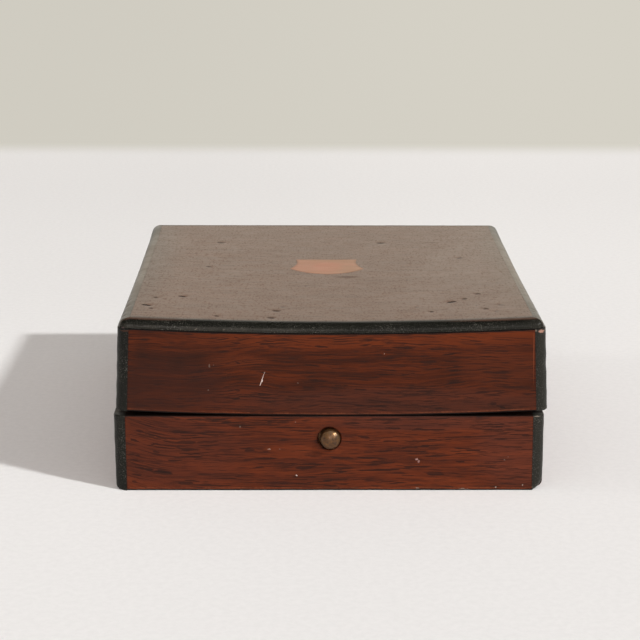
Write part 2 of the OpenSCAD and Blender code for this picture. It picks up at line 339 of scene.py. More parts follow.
def piece_of(name: str, skin: Skin, material: Material | None = None, crease: float = 50) -> Piece:
    """Makes an object of a skin.

    Args:
        name: The piece's name.
        skin: Its skin in millimetres.
        material: Its finish.
        crease: The angle in degrees from which an edge is sharp.

    Returns:
        The object, linked to the scene.
    """
    mesh = bpy.data.meshes.new(name)
    mesh.from_pydata((skin.points * MM).tolist(), [], skin.faces)
    for title, values in (("arris", skin.arris), ("inside", skin.inside)):
        layer = mesh.attributes.new(title, "FLOAT", "POINT")
        layer.data.foreach_set("value", values.astype(np.float32))
    work = bmesh.new()
    work.from_mesh(mesh)
    bmesh.ops.remove_doubles(work, verts=work.verts, dist=1e-7)
    bmesh.ops.recalc_face_normals(work, faces=work.faces)
    work.to_mesh(mesh)
    work.free()
    shade(mesh, crease)
    piece = bpy.data.objects.new(name, mesh)
    bpy.context.scene.collection.objects.link(piece)
    if material is not None:
        mesh.materials.append(material)
    return piece


def carve(piece: Piece, tools: Sequence[Piece], crease: float = 0.0, operation: str = "DIFFERENCE") -> None:
    """Cuts tools out of a piece, or joins them to it, and takes the tools away.

    Args:
        piece: The piece.
        tools: The objects to cut with or to join.
        crease: The angle in degrees from which an edge is sharp, or nought to leave the shading as it is.
        operation: The kind of cut.
    """
    for tool in tools:
        change = piece.modifiers.new("carve", "BOOLEAN")
        change.operation = operation
        change.solver = "EXACT"
        change.object = tool
    graph = bpy.context.evaluated_depsgraph_get()
    made = bpy.data.meshes.new_from_object(piece.evaluated_get(graph))
    piece.modifiers.clear()
    piece.data = made
    if crease:
        shade(made, crease)
    for tool in tools:
        bpy.data.objects.remove(tool)


def turned(profile: Sequence[tuple[float, float]], place: Matrix, segments: int = 64) -> Skin:
    """A turned shape.

    Args:
        profile: Radius and height of its outline, from the axis at one end to the axis at the other.
        place: Where its axis stands, in millimetres: the height runs along its z.
        segments: The number of divisions round it.

    Returns:
        The skin.
    """
    outline = np.array(profile, float)
    turns = np.arange(segments) * 2 * math.pi / segments
    away, up = outline.T
    rings = np.stack([np.stack([away * math.cos(t), away * math.sin(t), up], axis=1) for t in turns])
    size = len(outline)
    here = np.arange(size - 1)
    faces: list[tuple[int, ...]] = []
    for turn in range(segments):
        a, b = turn * size, ((turn + 1) % segments) * size
        walls = np.stack([a + here, b + here, b + here + 1, a + here + 1], axis=1)
        faces.extend(map(tuple, walls.tolist()))
    points = rings.reshape(-1, 3) @ np.array(place.to_3x3()).T + np.array(place.translation)
    return Skin(points, faces, np.zeros(len(points)), np.zeros(len(points)))


def block(low: Point, high: Point, round_off: float = 0.0) -> Skin:
    """A block with its edges rounded over.

    Args:
        low: Its lowest corner.
        high: Its highest corner.
        round_off: The radius of its edges.

    Returns:
        The skin.
    """
    work = bmesh.new()
    bmesh.ops.create_cube(work, size=1)
    size = np.array(high) - np.array(low)
    middle = (np.array(high) + np.array(low)) / 2
    for v in work.verts:
        v.co = Vector(np.array(v.co) * size + middle)
    if round_off:
        bmesh.ops.bevel(work, geom=work.edges[:], offset=round_off, segments=3, profile=0.5, affect="EDGES")
    points = np.array([v.co for v in work.verts], float)
    faces = [tuple(v.index for v in f.verts) for f in work.faces]
    work.free()
    return Skin(points, faces, np.zeros(len(points)), np.zeros(len(points)))


def joined(skins: Sequence[Skin]) -> Skin:
    """Joins skins into one.

    Args:
        skins: The skins.

    Returns:
        The skin of them all.
    """
    faces, start = [], 0
    for skin in skins:
        faces.extend(tuple(i + start for i in face) for face in skin.faces)
        start += len(skin.points)
    return Skin(np.concatenate([s.points for s in skins]), faces, np.concatenate([s.arris for s in skins]),
                np.concatenate([s.inside for s in skins]))


def dress(piece: Piece, body: Body, slot: Slot, *nodes: str) -> Piece:
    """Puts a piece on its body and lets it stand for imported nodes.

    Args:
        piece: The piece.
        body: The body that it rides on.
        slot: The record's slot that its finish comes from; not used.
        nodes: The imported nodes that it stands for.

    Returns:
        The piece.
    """
    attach(piece, body.value)
    if nodes:
        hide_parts(*nodes)
    LOG.info("%s rides on %s and stands for %s", piece.name, body.value, ", ".join(nodes) or "nothing")
    return piece


class Graph:
    """Adds nodes to a tree and joins them up."""

    def __init__(self, tree: Tree) -> None:
        """Starts on a tree."""
        self.tree = tree

    def add(self, kind: str, inputs: dict[str | int, object] | None = None, **settings: object) -> Node:
        """Adds a node.

        Args:
            kind: Its type, without the leading ShaderNode.
            inputs: Values or sockets for its inputs, by name or number.
            settings: Its own settings.

        Returns:
            The node.
        """
        node = self.tree.nodes.new("ShaderNode" + kind)
        for name, value in settings.items():
            setattr(node, name, value)
        self.fill(node, inputs or {})
        return node

    def fill(self, node: Node, inputs: dict[str | int, object]) -> None:
        """Fills a node's inputs.

        Args:
            node: The node.
            inputs: Values or sockets, by the inputs' names or numbers.
        """
        for key, value in inputs.items():
            if isinstance(value, Socket):
                self.tree.links.new(value, node.inputs[key])
            else:
                node.inputs[key].default_value = value

    def math(self, operation: str, a: object, b: object = 0.0, clamp: bool = False) -> Socket:
        """The result of one sum on two values."""
        return self.add("Math", {0: a, 1: b}, operation=operation, use_clamp=clamp).outputs[0]

    def plus(self, a: object, b: object, clamp: bool = False) -> Socket:
        """One value and another."""
        return self.math("ADD", a, b, clamp)

    def less(self, a: object, b: object, clamp: bool = False) -> Socket:
        """One value without another."""
        return self.math("SUBTRACT", a, b, clamp)

    def times(self, a: object, b: object, clamp: bool = False) -> Socket:
        """One value times another."""
        return self.math("MULTIPLY", a, b, clamp)

    def most(self, a: object, b: object) -> Socket:
        """The larger of two values."""
        return self.math("MAXIMUM", a, b)

    def vector(self, operation: str, a: object, b: object = ORIGIN) -> Socket:
        """The result of one sum on two vectors."""
        node = self.add("VectorMath", {0: a, 1: b}, operation=operation)
        return node.outputs["Value" if operation in ("LENGTH", "DISTANCE", "DOT_PRODUCT") else "Vector"]

    def parts(self, vector: Socket) -> Sequence[Socket]:
        """The three values of a vector."""
        return self.add("SeparateXYZ", {0: vector}).outputs

    def point(self, values: dict[int, object]) -> Socket:
        """A vector of the values that are given, and nought for the rest."""
        return self.add("CombineXYZ", values).outputs[0]

    def span(self, value: object, low: object, high: float, start: float = 0.0, end: float = 1.0) -> Socket:
        """Eases a value from start to end while it goes from low to high."""
        limits = {"Value": value, "From Min": low, "From Max": high, "To Min": start, "To Max": end}
        return self.add("MapRange", limits, interpolation_type="SMOOTHSTEP").outputs[0]

    def noise(self, place: object, size: Point | float, detail: float = 2.0, rough: float = 0.5,
              output: int = 0) -> Socket:
        """Noise.

        Args:
            place: Where it is looked up.
            size: The size of its blots in millimetres, each way or all ways alike.
            detail: How many finer layers it has.
            rough: How strong they are.
            output: 0 for its value, 1 for its colour.

        Returns:
            The value or the colour.
        """
        place = self.vector("DIVIDE", place, (size,) * 3 if isinstance(size, float) else size)
        inputs = {"Vector": place, "Scale": 1.0, "Detail": detail, "Roughness": rough}
        return self.add("TexNoise", inputs).outputs[output]

    def blend(self, share: object, a: object, b: object) -> Socket:
        """Blends two colours."""
        return self.add("Mix", {0: share, 6: a, 7: b}, data_type="RGBA").outputs[2]

    def attribute(self, name: str) -> Socket:
        """A value that the mesh carries at its points."""
        return self.add("Attribute", attribute_name=name).outputs["Fac"]


class Group(Graph):
    """The graph of a shader node group in the making."""

    def __init__(self, name: str, **inputs: float | Point) -> None:
        """Starts the group.

        Args:
            name: Its name.
            inputs: Its inputs with their starting values.
        """
        super().__init__(bpy.data.node_groups.new(name, "ShaderNodeTree"))
        for title, value in inputs.items():
            kind = "NodeSocketFloat" if isinstance(value, float) else "NodeSocketVector"
            self.tree.interface.new_socket(name=title, in_out="INPUT", socket_type=kind).default_value = value
        self.given = self.tree.nodes.new("NodeGroupInput").outputs

    def give(self, **found: Socket) -> Tree:
        """Gives the group its outputs.

        Args:
            found: The sockets that feed them, by the outputs' names.

        Returns:
            The group.
        """
        for name in found:
            self.tree.interface.new_socket(name=name, in_out="OUTPUT", socket_type="NodeSocketFloat")
        self.fill(self.tree.nodes.new("NodeGroupOutput"), found)
        return self.tree


class Effects:
    """The effects that several finishes share, each a node group that is built once."""

    def __init__(self) -> None:
        """Builds the groups."""
        self.figure = self.wood_figure()
        self.wear = self.edge_wear()
        self.use = self.handling()
        self.spot = self.soft_spot()
        self.score = self.scored_line()
        self.dash = self.bold_dash()

    @staticmethod
    def wood_figure() -> Tree:
        """The figure of a board: broad bands, dark streaks, pores and cloudy patches.

        Returns:
            The group. Its place runs along, across and through the grain, in millimetres.
        """
        g = Group("wood_figure", Place=ORIGIN, Wander=1.5, Seed=0.0)
        apart = g.point({k: g.times(g.given["Seed"], far) for k, far in enumerate((61.7, 23.9, 47.3))})
        place = g.vector("ADD", g.given["Place"], apart)
        push = g.times(g.less(g.noise(place, (40.0, 16.0, 22.0), 1.5), 0.5), 3.0)
        nudge = g.times(g.less(g.noise(place, (9.0, 5.0, 9.0), 1.0), 0.5), 0.8)
        flow = g.vector("ADD", place, g.point({1: g.times(g.plus(push, nudge), g.given["Wander"])}))
        bands = g.noise(flow, (34.0, 2.4, 8.0), 3.0, 0.55)
        dashes = g.noise(flow, (7.5, 0.44, 1.4), 2.0, 0.5)
        fine = g.noise(flow, (7.0, 0.28, 0.8), 2.0, 0.6)
        clusters = g.noise(flow, (18.0, 3.0, 9.0), 2.0, 0.6)
        patches = g.noise(place, (26.0, 9.0, 12.0), 2.0)
        return g.give(
            Bands=g.span(bands, 0.3, 0.7),
            Streaks=g.times(g.span(dashes, 0.54, 0.6), g.span(clusters, 0.36, 0.62, 0.1, 1.0)),
            Pores=g.span(fine, 0.5, 0.64),
            Patches=g.span(patches, 0.34, 0.7),
            Fibre=g.noise(flow, (18.0, 0.3, 0.9), 3.0, 0.6),
        )

    @staticmethod
    def edge_wear() -> Tree:
        """Wear along rubbed edges, broken up so that it comes and goes.

        Returns:
            The group. Edge is how near a point is to an edge, 0 to 1, and Amount how far the wear reaches.
        """
        g = Group("edge_wear", Place=ORIGIN, Edge=0.0, Amount=0.5)
        place, edge = g.given["Place"], g.given["Edge"]
        broad = g.noise(place, 9.0, 2.0)
        fine = g.noise(place, 0.9, 3.0, 0.7)
        rough = g.plus(g.times(broad, 0.6), g.times(fine, 0.5))
        wear = g.span(g.plus(rough, g.times(edge, g.given["Amount"])), 0.94, 1.12)
        return g.give(Wear=g.times(wear, g.span(edge, 0.05, 0.4)))

    @staticmethod
    def handling() -> Tree:
        """The marks of use: fine scratches, small pits, dust in them and uneven shine.

        Returns:
            The group.
        """
        g = Group("handling", Place=ORIGIN, Amount=0.5)
        place, amount = g.given["Place"], g.given["Amount"]
        found = []
        for turn, length in ((0.35, 7.0), (-0.5, 5.0), (1.35, 4.0)):
            spun = g.add("VectorRotate", {"Vector": place, "Angle": turn}, rotation_type="Z_AXIS").outputs[0]
            found.append(g.noise(spun, (length, 0.16, 0.16), 1.0))
        most = g.most(g.most(found[0], found[1]), found[2])
        low = g.less(0.8, g.times(amount, 0.08))
        limits = {"Value": most, "From Min": low, "From Max": g.plus(low, 0.05)}
        tiles = g.vector("DIVIDE", place, (2.6, 2.6, 2.6))
        cells = g.add("TexVoronoi", {"Vector": tiles, "Scale": 1.0}).outputs
        tint = g.add("SeparateColor", {0: cells["Color"]}).outputs
        hole = g.math("LESS_THAN", cells["Distance"], g.times(tint[1], 0.17))
        dust = g.span(g.noise(place, 0.42, 3.0, 0.8), 0.54, 0.7)
        cloud = g.span(g.noise(place, 14.0, 2.0), 0.35, 0.7, 0.35, 1.0)
        return g.give(
            Scratches=g.add("MapRange", limits).outputs[0],
            Pits=g.times(g.times(g.math("GREATER_THAN", tint[0], 0.8), hole), amount),
            Smears=g.noise(place, (8.0, 6.0, 6.0), 4.0, 0.6),
            Dust=g.times(dust, cloud),
        )

    @staticmethod
    def soft_spot() -> Tree:
        """A spot round a point, soft at its rim.

        Returns:
            The group. Centre and Reach are in millimetres.
        """
        g = Group("soft_spot", Place=ORIGIN, Centre=ORIGIN, Reach=(1.0, 1.0, 1.0), Core=0.55)
        away = g.vector("SUBTRACT", g.given["Place"], g.given["Centre"])
        far = g.vector("LENGTH", g.vector("DIVIDE", away, g.given["Reach"]))
        return g.give(Mask=g.span(far, g.given["Core"], 1.15, 1.0, 0.0))

    @staticmethod
    def scored_line() -> Tree:
        """A scratch between two points, widest in its lower middle.

        Returns:
            The group. Start, End and Width are in millimetres.
        """
        g = Group("scored_line", Place=ORIGIN, Start=ORIGIN, End=ORIGIN, Width=0.3)
        way = g.vector("SUBTRACT", g.given["End"], g.given["Start"])
        off = g.vector("SUBTRACT", g.given["Place"], g.given["Start"])
        share = g.math("DIVIDE", g.vector("DOT_PRODUCT", off, way), g.vector("DOT_PRODUCT", way, way), True)
        foot = g.add("VectorMath", {0: way, "Scale": share}, operation="SCALE").outputs[0]
        gap = g.vector("LENGTH", g.vector("SUBTRACT", off, foot))
        taper = g.times(g.math("POWER", share, 1.6), g.math("POWER", g.less(1.0, share), 0.5))
        width = g.times(g.plus(g.times(taper, 2.2), 0.16), g.given["Width"])
        return g.give(Mask=g.span(g.less(1.0, g.math("DIVIDE", gap, width), True), 0.0, 0.5))

    @staticmethod
    def bold_dash() -> Tree:
        """A long dark dash in the figure, laid over those that have been found so far.

        Returns:
            The group. Along and Across turn a distance in millimetres into shares of the dash's half length
            and half thickness.
        """
        g = Group("bold_dash", Place=ORIGIN, Middle=ORIGIN, Along=ORIGIN, Across=ORIGIN, Found=0.0)
        away = g.vector("SUBTRACT", g.given["Place"], g.given["Middle"])
        shares = g.point({0: g.vector("DOT_PRODUCT", away, g.given["Along"]),
                          1: g.vector("DOT_PRODUCT", away, g.given["Across"])})
        gap = g.vector("DOT_PRODUCT", shares, shares)
        return g.give(Found=g.most(g.given["Found"], g.less(1.0, gap)))


EFFECTS = Effects()


class Finish:
    """What all finishes share: a material with one shader, and the steps that build its colour."""

    def __init__(self, name: str) -> None:
        """Starts a material.

        Args:
            name: The material's name.
        """
        self.material = bpy.data.materials.new(name)
        self.material.use_nodes = True
        self.graph = Graph(self.material.node_tree)
        self.shader = self.material.node_tree.nodes["Principled BSDF"]
        coordinates = self.graph.add("TexCoord").outputs["Object"]
        scaled = self.graph.add("VectorMath", {0: coordinates, "Scale": 1 / MM}, operation="SCALE")
        self.place = scaled.outputs[0]
        self.dull: Socket | float = 0.0

    def along(self, grain: Grain) -> Socket:
        """The place in millimetres, turned so that x runs along the grain."""
        parts = self.graph.parts(self.place)
        return self.graph.point({k: parts[axis] for k, axis in enumerate(grain.value)})

    def effect(self, group: Tree, **inputs: object) -> Sequence[Socket]:
        """Places a shared effect in this material, with its inputs, and gives its outputs."""
        return self.graph.add("Group", inputs, node_tree=group).outputs

    def marked(self, colour: Socket, spots: Sequence[Spot], scores: Sequence[Score]) -> Socket:
        """Lays single marks over a colour.

        Args:
            colour: The colour so far.
            spots: Spots and chips.
            scores: Scratches.

        Returns:
            The colour with its marks.
        """
        if not spots and not scores:
            return colour
        g = self.graph
        shake = g.vector("SUBTRACT", g.noise(self.place, 0.7, output=1), (0.5, 0.5, 0.5))
        ragged = g.vector("ADD", self.place, g.vector("MULTIPLY", shake, (0.8, 0.8, 0.8)))
        for spot in spots:
            mask = self.effect(EFFECTS.spot, Place=ragged, Centre=spot.at, Reach=spot.reach,
                               Core=spot.core)[0]
            colour = g.blend(g.times(mask, spot.strength), colour, spot.colour)
            if spot.dull:
                self.dull = g.most(self.dull, g.times(mask, spot.dull))
        for score in scores:
            mask = self.effect(EFFECTS.score, Place=self.place, Start=score.start, End=score.end,
                               Width=score.width)[0]
            colour = g.blend(mask, colour, score.colour)
        return colour

    def relief(self, height: Socket, depth: float) -> None:
        """Gives the surface a fine relief, whose height of 1 is so deep in millimetres."""
        bump = self.graph.add("Bump", {"Strength": 1.0, "Distance": depth * MM, "Height": height})
        self.feed("Normal", bump.outputs[0])

    def feed(self, name: str, value: object) -> None:
        """Gives one of the shader's inputs a value or a socket."""
        self.graph.fill(self.shader, {name: value})


@dataclass(frozen=True)
class Swirl:
    """A place where the grain bows: its middle and reach along and across, and how far it is lifted."""

    at: tuple[float, float]
    reach: tuple[float, float]
    lift: float


Dash = tuple[float, float, float, float, float]


@dataclass(frozen=True)
class Mahogany:
    """Old polished mahogany."""

    name: str
    grain: Grain
    seed: float
    wander: float = 1.2
    dark: Colour = linear(72, 32, 19)
    middle: Colour = linear(90, 39, 19)
    light: Colour = linear(108, 48, 23)
    streak: Colour = linear(36, 22, 17)
    streaky: float = 0.85
    polish: float = 0.42
    uneven: float = 0.25
    deep: float = 0.022
    shine: float = 0.09
    grime: float = 0.5
    fan: tuple[float, float, float] | None = None
    swirls: tuple[Swirl, ...] = ()
    dashes: tuple[Dash, ...] = ()
    bold: float = 0.85
    specks: float = 0.0
    tints: tuple[Spot, ...] = ()
    spots: tuple[Spot, ...] = ()
    scores: tuple[Score, ...] = ()

    def dashed(self, finish: Finish, fibre: Socket) -> Socket | float:
        """The bold dark dashes that stand out of the figure of a front board.

        Args:
            finish: The finish in the making.
            fibre: The figure's fibre, which breaks them up.

        Returns:
            How much of a dash lies at a point.
        """
        g = finish.graph
        found: Socket | float = 0.0
        shake = g.less(g.noise(finish.place, (3.2, 3.2, 0.45), 3.0), 0.5)
        rough = g.vector("ADD", finish.place, g.point({2: g.times(shake, 1.1)}))
        for x, z, end_x, end_z, width in self.dashes:
            half = Vector(((end_x - x) / 2, 0.0, (end_z - z) / 2))
            found = finish.effect(
                EFFECTS.dash, Place=rough, Middle=(x + half.x, -BOX.half_d, z + half.z), Found=found,
                Along=half / half.length_squared,
                Across=Vector((-half.z, 0.0, half.x)) / (half.length * width * self.bold))[0]
        return g.times(g.span(found, 0.0, 0.5), g.span(fibre, 0.36, 0.6, 0.4, 1.1)) if self.dashes else found

    def flow(self, finish: Finish) -> Socket:
        """The place along the grain, bent where the grain bends.

        Args:
            finish: The finish in the making.

        Returns:
            The place.
        """
        g = finish.graph
        place = finish.along(self.grain)
        parts = g.parts(place)
        bend: Socket | float = 0.0
        if self.fan:
            start, reach, slope = self.fan
            past = g.most(g.less(start, parts[0]), 0.0)
            bend = g.times(g.times(past, past), -slope / (2 * reach))
        for swirl in self.swirls:
            off = [g.math("DIVIDE", g.less(parts[k], swirl.at[k]), swirl.reach[k]) for k in (0, 1)]
            square = g.plus(g.times(off[0], off[0]), g.times(off[1], off[1]))
            bend = g.plus(bend, g.math("DIVIDE", swirl.lift, g.plus(1.0, g.times(square, square))))
        return g.vector("ADD", place, g.point({1: bend}))

    def make(self) -> Material:
        """Builds the material.

        Returns:
            The material.
        """
        finish = Finish(self.name)
        g = finish.graph
        wood = finish.effect(EFFECTS.figure, Place=self.flow(finish), Wander=self.wander, Seed=self.seed)
        use = finish.effect(EFFECTS.use, Place=finish.place, Amount=self.grime)
        inside = g.attribute("inside")
        arris = g.attribute("arris")
        ramp = g.add("ValToRGB", {0: wood["Bands"]})
        stops = ramp.color_ramp.elements
        stops[0].color, stops[1].color = self.dark, self.light
        stops[0].position, stops[1].position = 0.0, 1.0
        stops.new(0.5).color = self.middle
        colour = g.blend(g.times(g.span(wood["Fibre"], 0.46, 0.62), 0.5), ramp.outputs[0], self.light)
        colour = g.blend(g.times(wood["Patches"], 0.25), colour, self.dark)
        colour = finish.marked(colour, self.tints, ())
        colour = g.blend(g.times(wood["Pores"], self.streaky * 0.7), colour, self.streak)
        bold = g.most(wood["Streaks"], self.dashed(finish, wood["Fibre"]))
        colour = g.blend(g.times(bold, self.streaky, True), colour, self.streak)
        bare = g.blend(0.55, colour, linear(120, 74, 50))
        colour = g.blend(g.times(inside, 0.8), colour, bare)
        wear = finish.effect(EFFECTS.wear, Place=finish.place, Edge=arris, Amount=0.58)[0]
        colour = g.blend(g.times(wear, 0.4), colour, linear(130, 74, 48))
        colour = g.blend(g.times(use["Pits"], 0.7), colour, (0.01, 0.006, 0.004, 1.0))
        colour = g.blend(g.times(use["Scratches"], 0.12), colour, linear(150, 110, 90))
        colour = finish.marked(colour, self.spots, self.scores)
        # Below nought the arris darkens: dirt in the joints, painted shade on the rims that the closed lid
        # covers and along each board's foot (in the seam for the lid, against the table for the base), and a
        # darker margin along the top board's front.
        joint = g.times(g.times(arris, -1.0, True), g.plus(0.55, use["Smears"]), True)
        colour = g.blend(g.times(joint, 0.94), colour, (0.005, 0.004, 0.0035, 1.0))
        finish.feed("Base Color", colour)
        shade = g.plus(self.polish, g.times(g.less(use["Smears"], 0.5), self.uneven))
        shade = g.plus(shade, g.plus(g.times(wood["Pores"], 0.1), g.times(finish.dull, 0.6)))
        shade = g.plus(shade, g.times(use["Scratches"], 0.08))
        if self.specks:
            speck = g.span(g.noise(finish.place, (0.8, 2.0, 0.8), 3.0, 0.65), 0.5, 0.68)
            shade = g.plus(shade, g.times(speck, self.specks))
        finish.feed("Roughness", g.plus(shade, g.times(inside, 0.25), True))
        finish.feed("Specular IOR Level", self.shine)
        depth = g.plus(g.times(wood["Pores"], 0.5), g.times(wood["Streaks"], 0.4))
        depth = g.plus(depth, g.plus(use["Pits"], g.times(use["Scratches"], 0.4)))
        height = g.less(g.times(wood["Fibre"], 0.2), depth)
        finish.relief(height, self.deep)
        return finish.material


@dataclass(frozen=True)
class EbonisedWood:
    """Pale wood stained black and polished, rubbed through in places."""

    name: str
    grain: Grain
    seed: float
    worn: float = 0.5
    shine: float = 0.145
    rough: float = 0.42
    level: float = 1.0
    spots: tuple[Spot, ...] = ()
    # How strong the paler line along the lower rounding is: a painted highlight, broken up like wear.
    rubbed: float = 0.0

    def make(self) -> Material:
        """Builds the material.

        Returns:
            The material.
        """
        finish = Finish(self.name)
        g = finish.graph
        place = finish.along(self.grain)
        wood = finish.effect(EFFECTS.figure, Place=place, Wander=0.6, Seed=self.seed)
        use = finish.effect(EFFECTS.use, Place=finish.place, Amount=0.7)
        edge = g.attribute("arris")
        wear = finish.effect(EFFECTS.wear, Place=finish.place, Edge=edge, Amount=self.worn)[0]
        tones = ((0.0045, 0.0045, 0.0032), (0.009, 0.009, 0.0065))
        black = g.blend(wood["Bands"], *([c * self.level for c in tone] + [1.0] for tone in tones))
        colour = g.blend(g.times(use["Dust"], 0.95), black, linear(104, 101, 93))
        # A paler grey line along the lower rounding of the long strips, stronger towards the left: painted
        # highlight.
        if self.rubbed:
            painted_highlight_band = g.times(g.span(edge, 0.42, 0.55), g.span(use["Smears"], 0.3, 0.6, 0.35, 1.0))
            along = g.span(g.parts(finish.place)[0], -24.0, 4.0, self.rubbed, 0.2 * self.rubbed)
            colour = g.blend(g.times(painted_highlight_band, along), colour, linear(76, 71, 64))
        colour = g.blend(g.times(use["Scratches"], 0.35), colour, linear(110, 104, 96))
        colour = g.blend(g.times(wear, 0.75), colour, linear(98, 66, 44))
        colour = finish.marked(colour, self.spots, ())
        joint = g.times(edge, -1.0, True)
        colour = g.blend(g.times(joint, 0.95), colour, (0.003, 0.003, 0.0028, 1.0))
        finish.feed("Base Color", colour)
        shade = g.plus(self.rough, g.times(g.less(use["Smears"], 0.5), 0.3))
        shade = g.plus(shade, g.times(wear, 0.25))
        finish.feed("Roughness", g.plus(shade, g.times(use["Dust"], 0.2), True))
        finish.feed("Specular IOR Level", self.shine)
        depth = g.plus(g.times(wood["Pores"], 0.5), g.times(wear, 0.7))
        depth = g.plus(depth, g.plus(use["Pits"], g.times(use["Scratches"], 0.5)))
        finish.relief(g.times(depth, -1.0), 0.03)
        return finish.material


@dataclass(frozen=True)
class ShieldWood:
    """The pale pinkish wood of the inlaid shield."""

    name: str = "shield_wood"

    def make(self) -> Material:
        """Builds the material.

        Returns:
            The material.
        """
        finish = Finish(self.name)
        g = finish.graph
        wood = finish.effect(EFFECTS.figure, Place=finish.along(Grain.SIDEWAYS_FLAT), Wander=0.5, Seed=8.3)
        use = finish.effect(EFFECTS.use, Place=finish.place, Amount=0.5)
        colour = g.blend(wood["Bands"], linear(162, 124, 98), linear(174, 134, 107))
        colour = g.blend(g.times(wood["Patches"], 0.5), colour, linear(184, 128, 106))
        middle = finish.effect(EFFECTS.spot, Place=finish.place, Centre=(0.6, 1.0, BOX.top_z),
                               Reach=(6.0, 9.0, 9.0))[0]
        colour = g.blend(g.times(middle, 0.4), colour, linear(190, 128, 106))
        colour = g.blend(g.times(wood["Pores"], 0.18), colour, linear(120, 78, 56))
        colour = g.blend(g.times(g.attribute("arris"), 0.35), colour, linear(96, 66, 50))
        finish.feed("Base Color", colour)
        finish.feed("Roughness", g.plus(0.4, g.times(use["Smears"], 0.2)))
        finish.feed("Specular IOR Level", 0.35)
        finish.relief(g.times(wood["Pores"], -1.0), 0.02)
        return finish.material


@dataclass(frozen=True)
class AgedBrass:
    """Brass gone brown, brighter where it is rubbed."""

    name: str
    metal: Colour = linear(176, 136, 84)
    brown: Colour = linear(104, 68, 42)
    tarnish: float = 0.75
    rim: Colour | None = None
    pitted: float = 0.02
    rough: float = 0.26
    lacquer: float = 0.0

    def make(self) -> Material:
        """Builds the material.

        Returns:
            The material.
        """
        finish = Finish(self.name)
        g = finish.graph
        use = finish.effect(EFFECTS.use, Place=finish.place, Amount=0.6)
        cloud = g.noise(finish.place, 1.6, 4.0, 0.65)
        fine = g.noise(finish.place, 0.25, 3.0, 0.7)
        rubbed = g.attribute("arris")
        cover = g.less(g.plus(self.tarnish, g.times(g.less(cloud, 0.5), 2.2)), g.times(rubbed, 0.4), True)
        colour = g.blend(cover, self.metal, self.brown)
        colour = g.blend(g.span(fine, 0.55, 0.75, 0.0, 0.5), colour, linear(62, 40, 26))
        if self.rim:
            colour = g.blend(g.times(rubbed, 0.55), colour, self.rim)
        finish.feed("Base Color", colour)
        finish.feed("Metallic", g.less(1.0, g.times(cover, 0.65)))
        shade = g.plus(self.rough, g.times(cover, 0.16))
        finish.feed("Roughness", g.plus(shade, g.times(use["Smears"], 0.12), True))
        finish.feed("Coat Weight", self.lacquer)
        finish.feed("Coat Roughness", 0.2)
        height = g.plus(g.times(cloud, 0.5), g.times(fine, 0.5))
        finish.relief(g.less(height, g.times(use["Scratches"], 0.6)), self.pitted)
        return finish.material


@dataclass(frozen=True)
class OldSteel:
    """Grey steel with a little rust."""

    name: str = "old_steel"

    def make(self) -> Material:
        """Builds the material.

        Returns:
            The material.
        """
        finish = Finish(self.name)
        g = finish.graph
        rust = g.span(g.noise(finish.place, 0.5, 4.0, 0.7), 0.52, 0.68)
        finish.feed("Base Color", g.blend(rust, linear(150, 148, 144), linear(84, 52, 34)))
        finish.feed("Metallic", g.less(1.0, g.times(rust, 0.8)))
        finish.feed("Roughness", g.plus(0.32, g.times(rust, 0.4)))
        finish.relief(rust, 0.02)
        return finish.material


@dataclass(frozen=True)
class Corner:
    """A corner of a board's section: depth behind the face, height, and the radius of its rubbed arris.

    A joint's arris holds dirt instead of being rubbed bare. A rim is painted dark over the face that follows
    it, painted shade under the closed lid, and a foot is painted dark below, painted shade in the seam or
    against the table, and rubbed above.
    """

    off: float
    z: float
    radius: float = 0.0
    inside: bool = False
    joint: bool = False
    rim: bool = False
    foot: bool = False


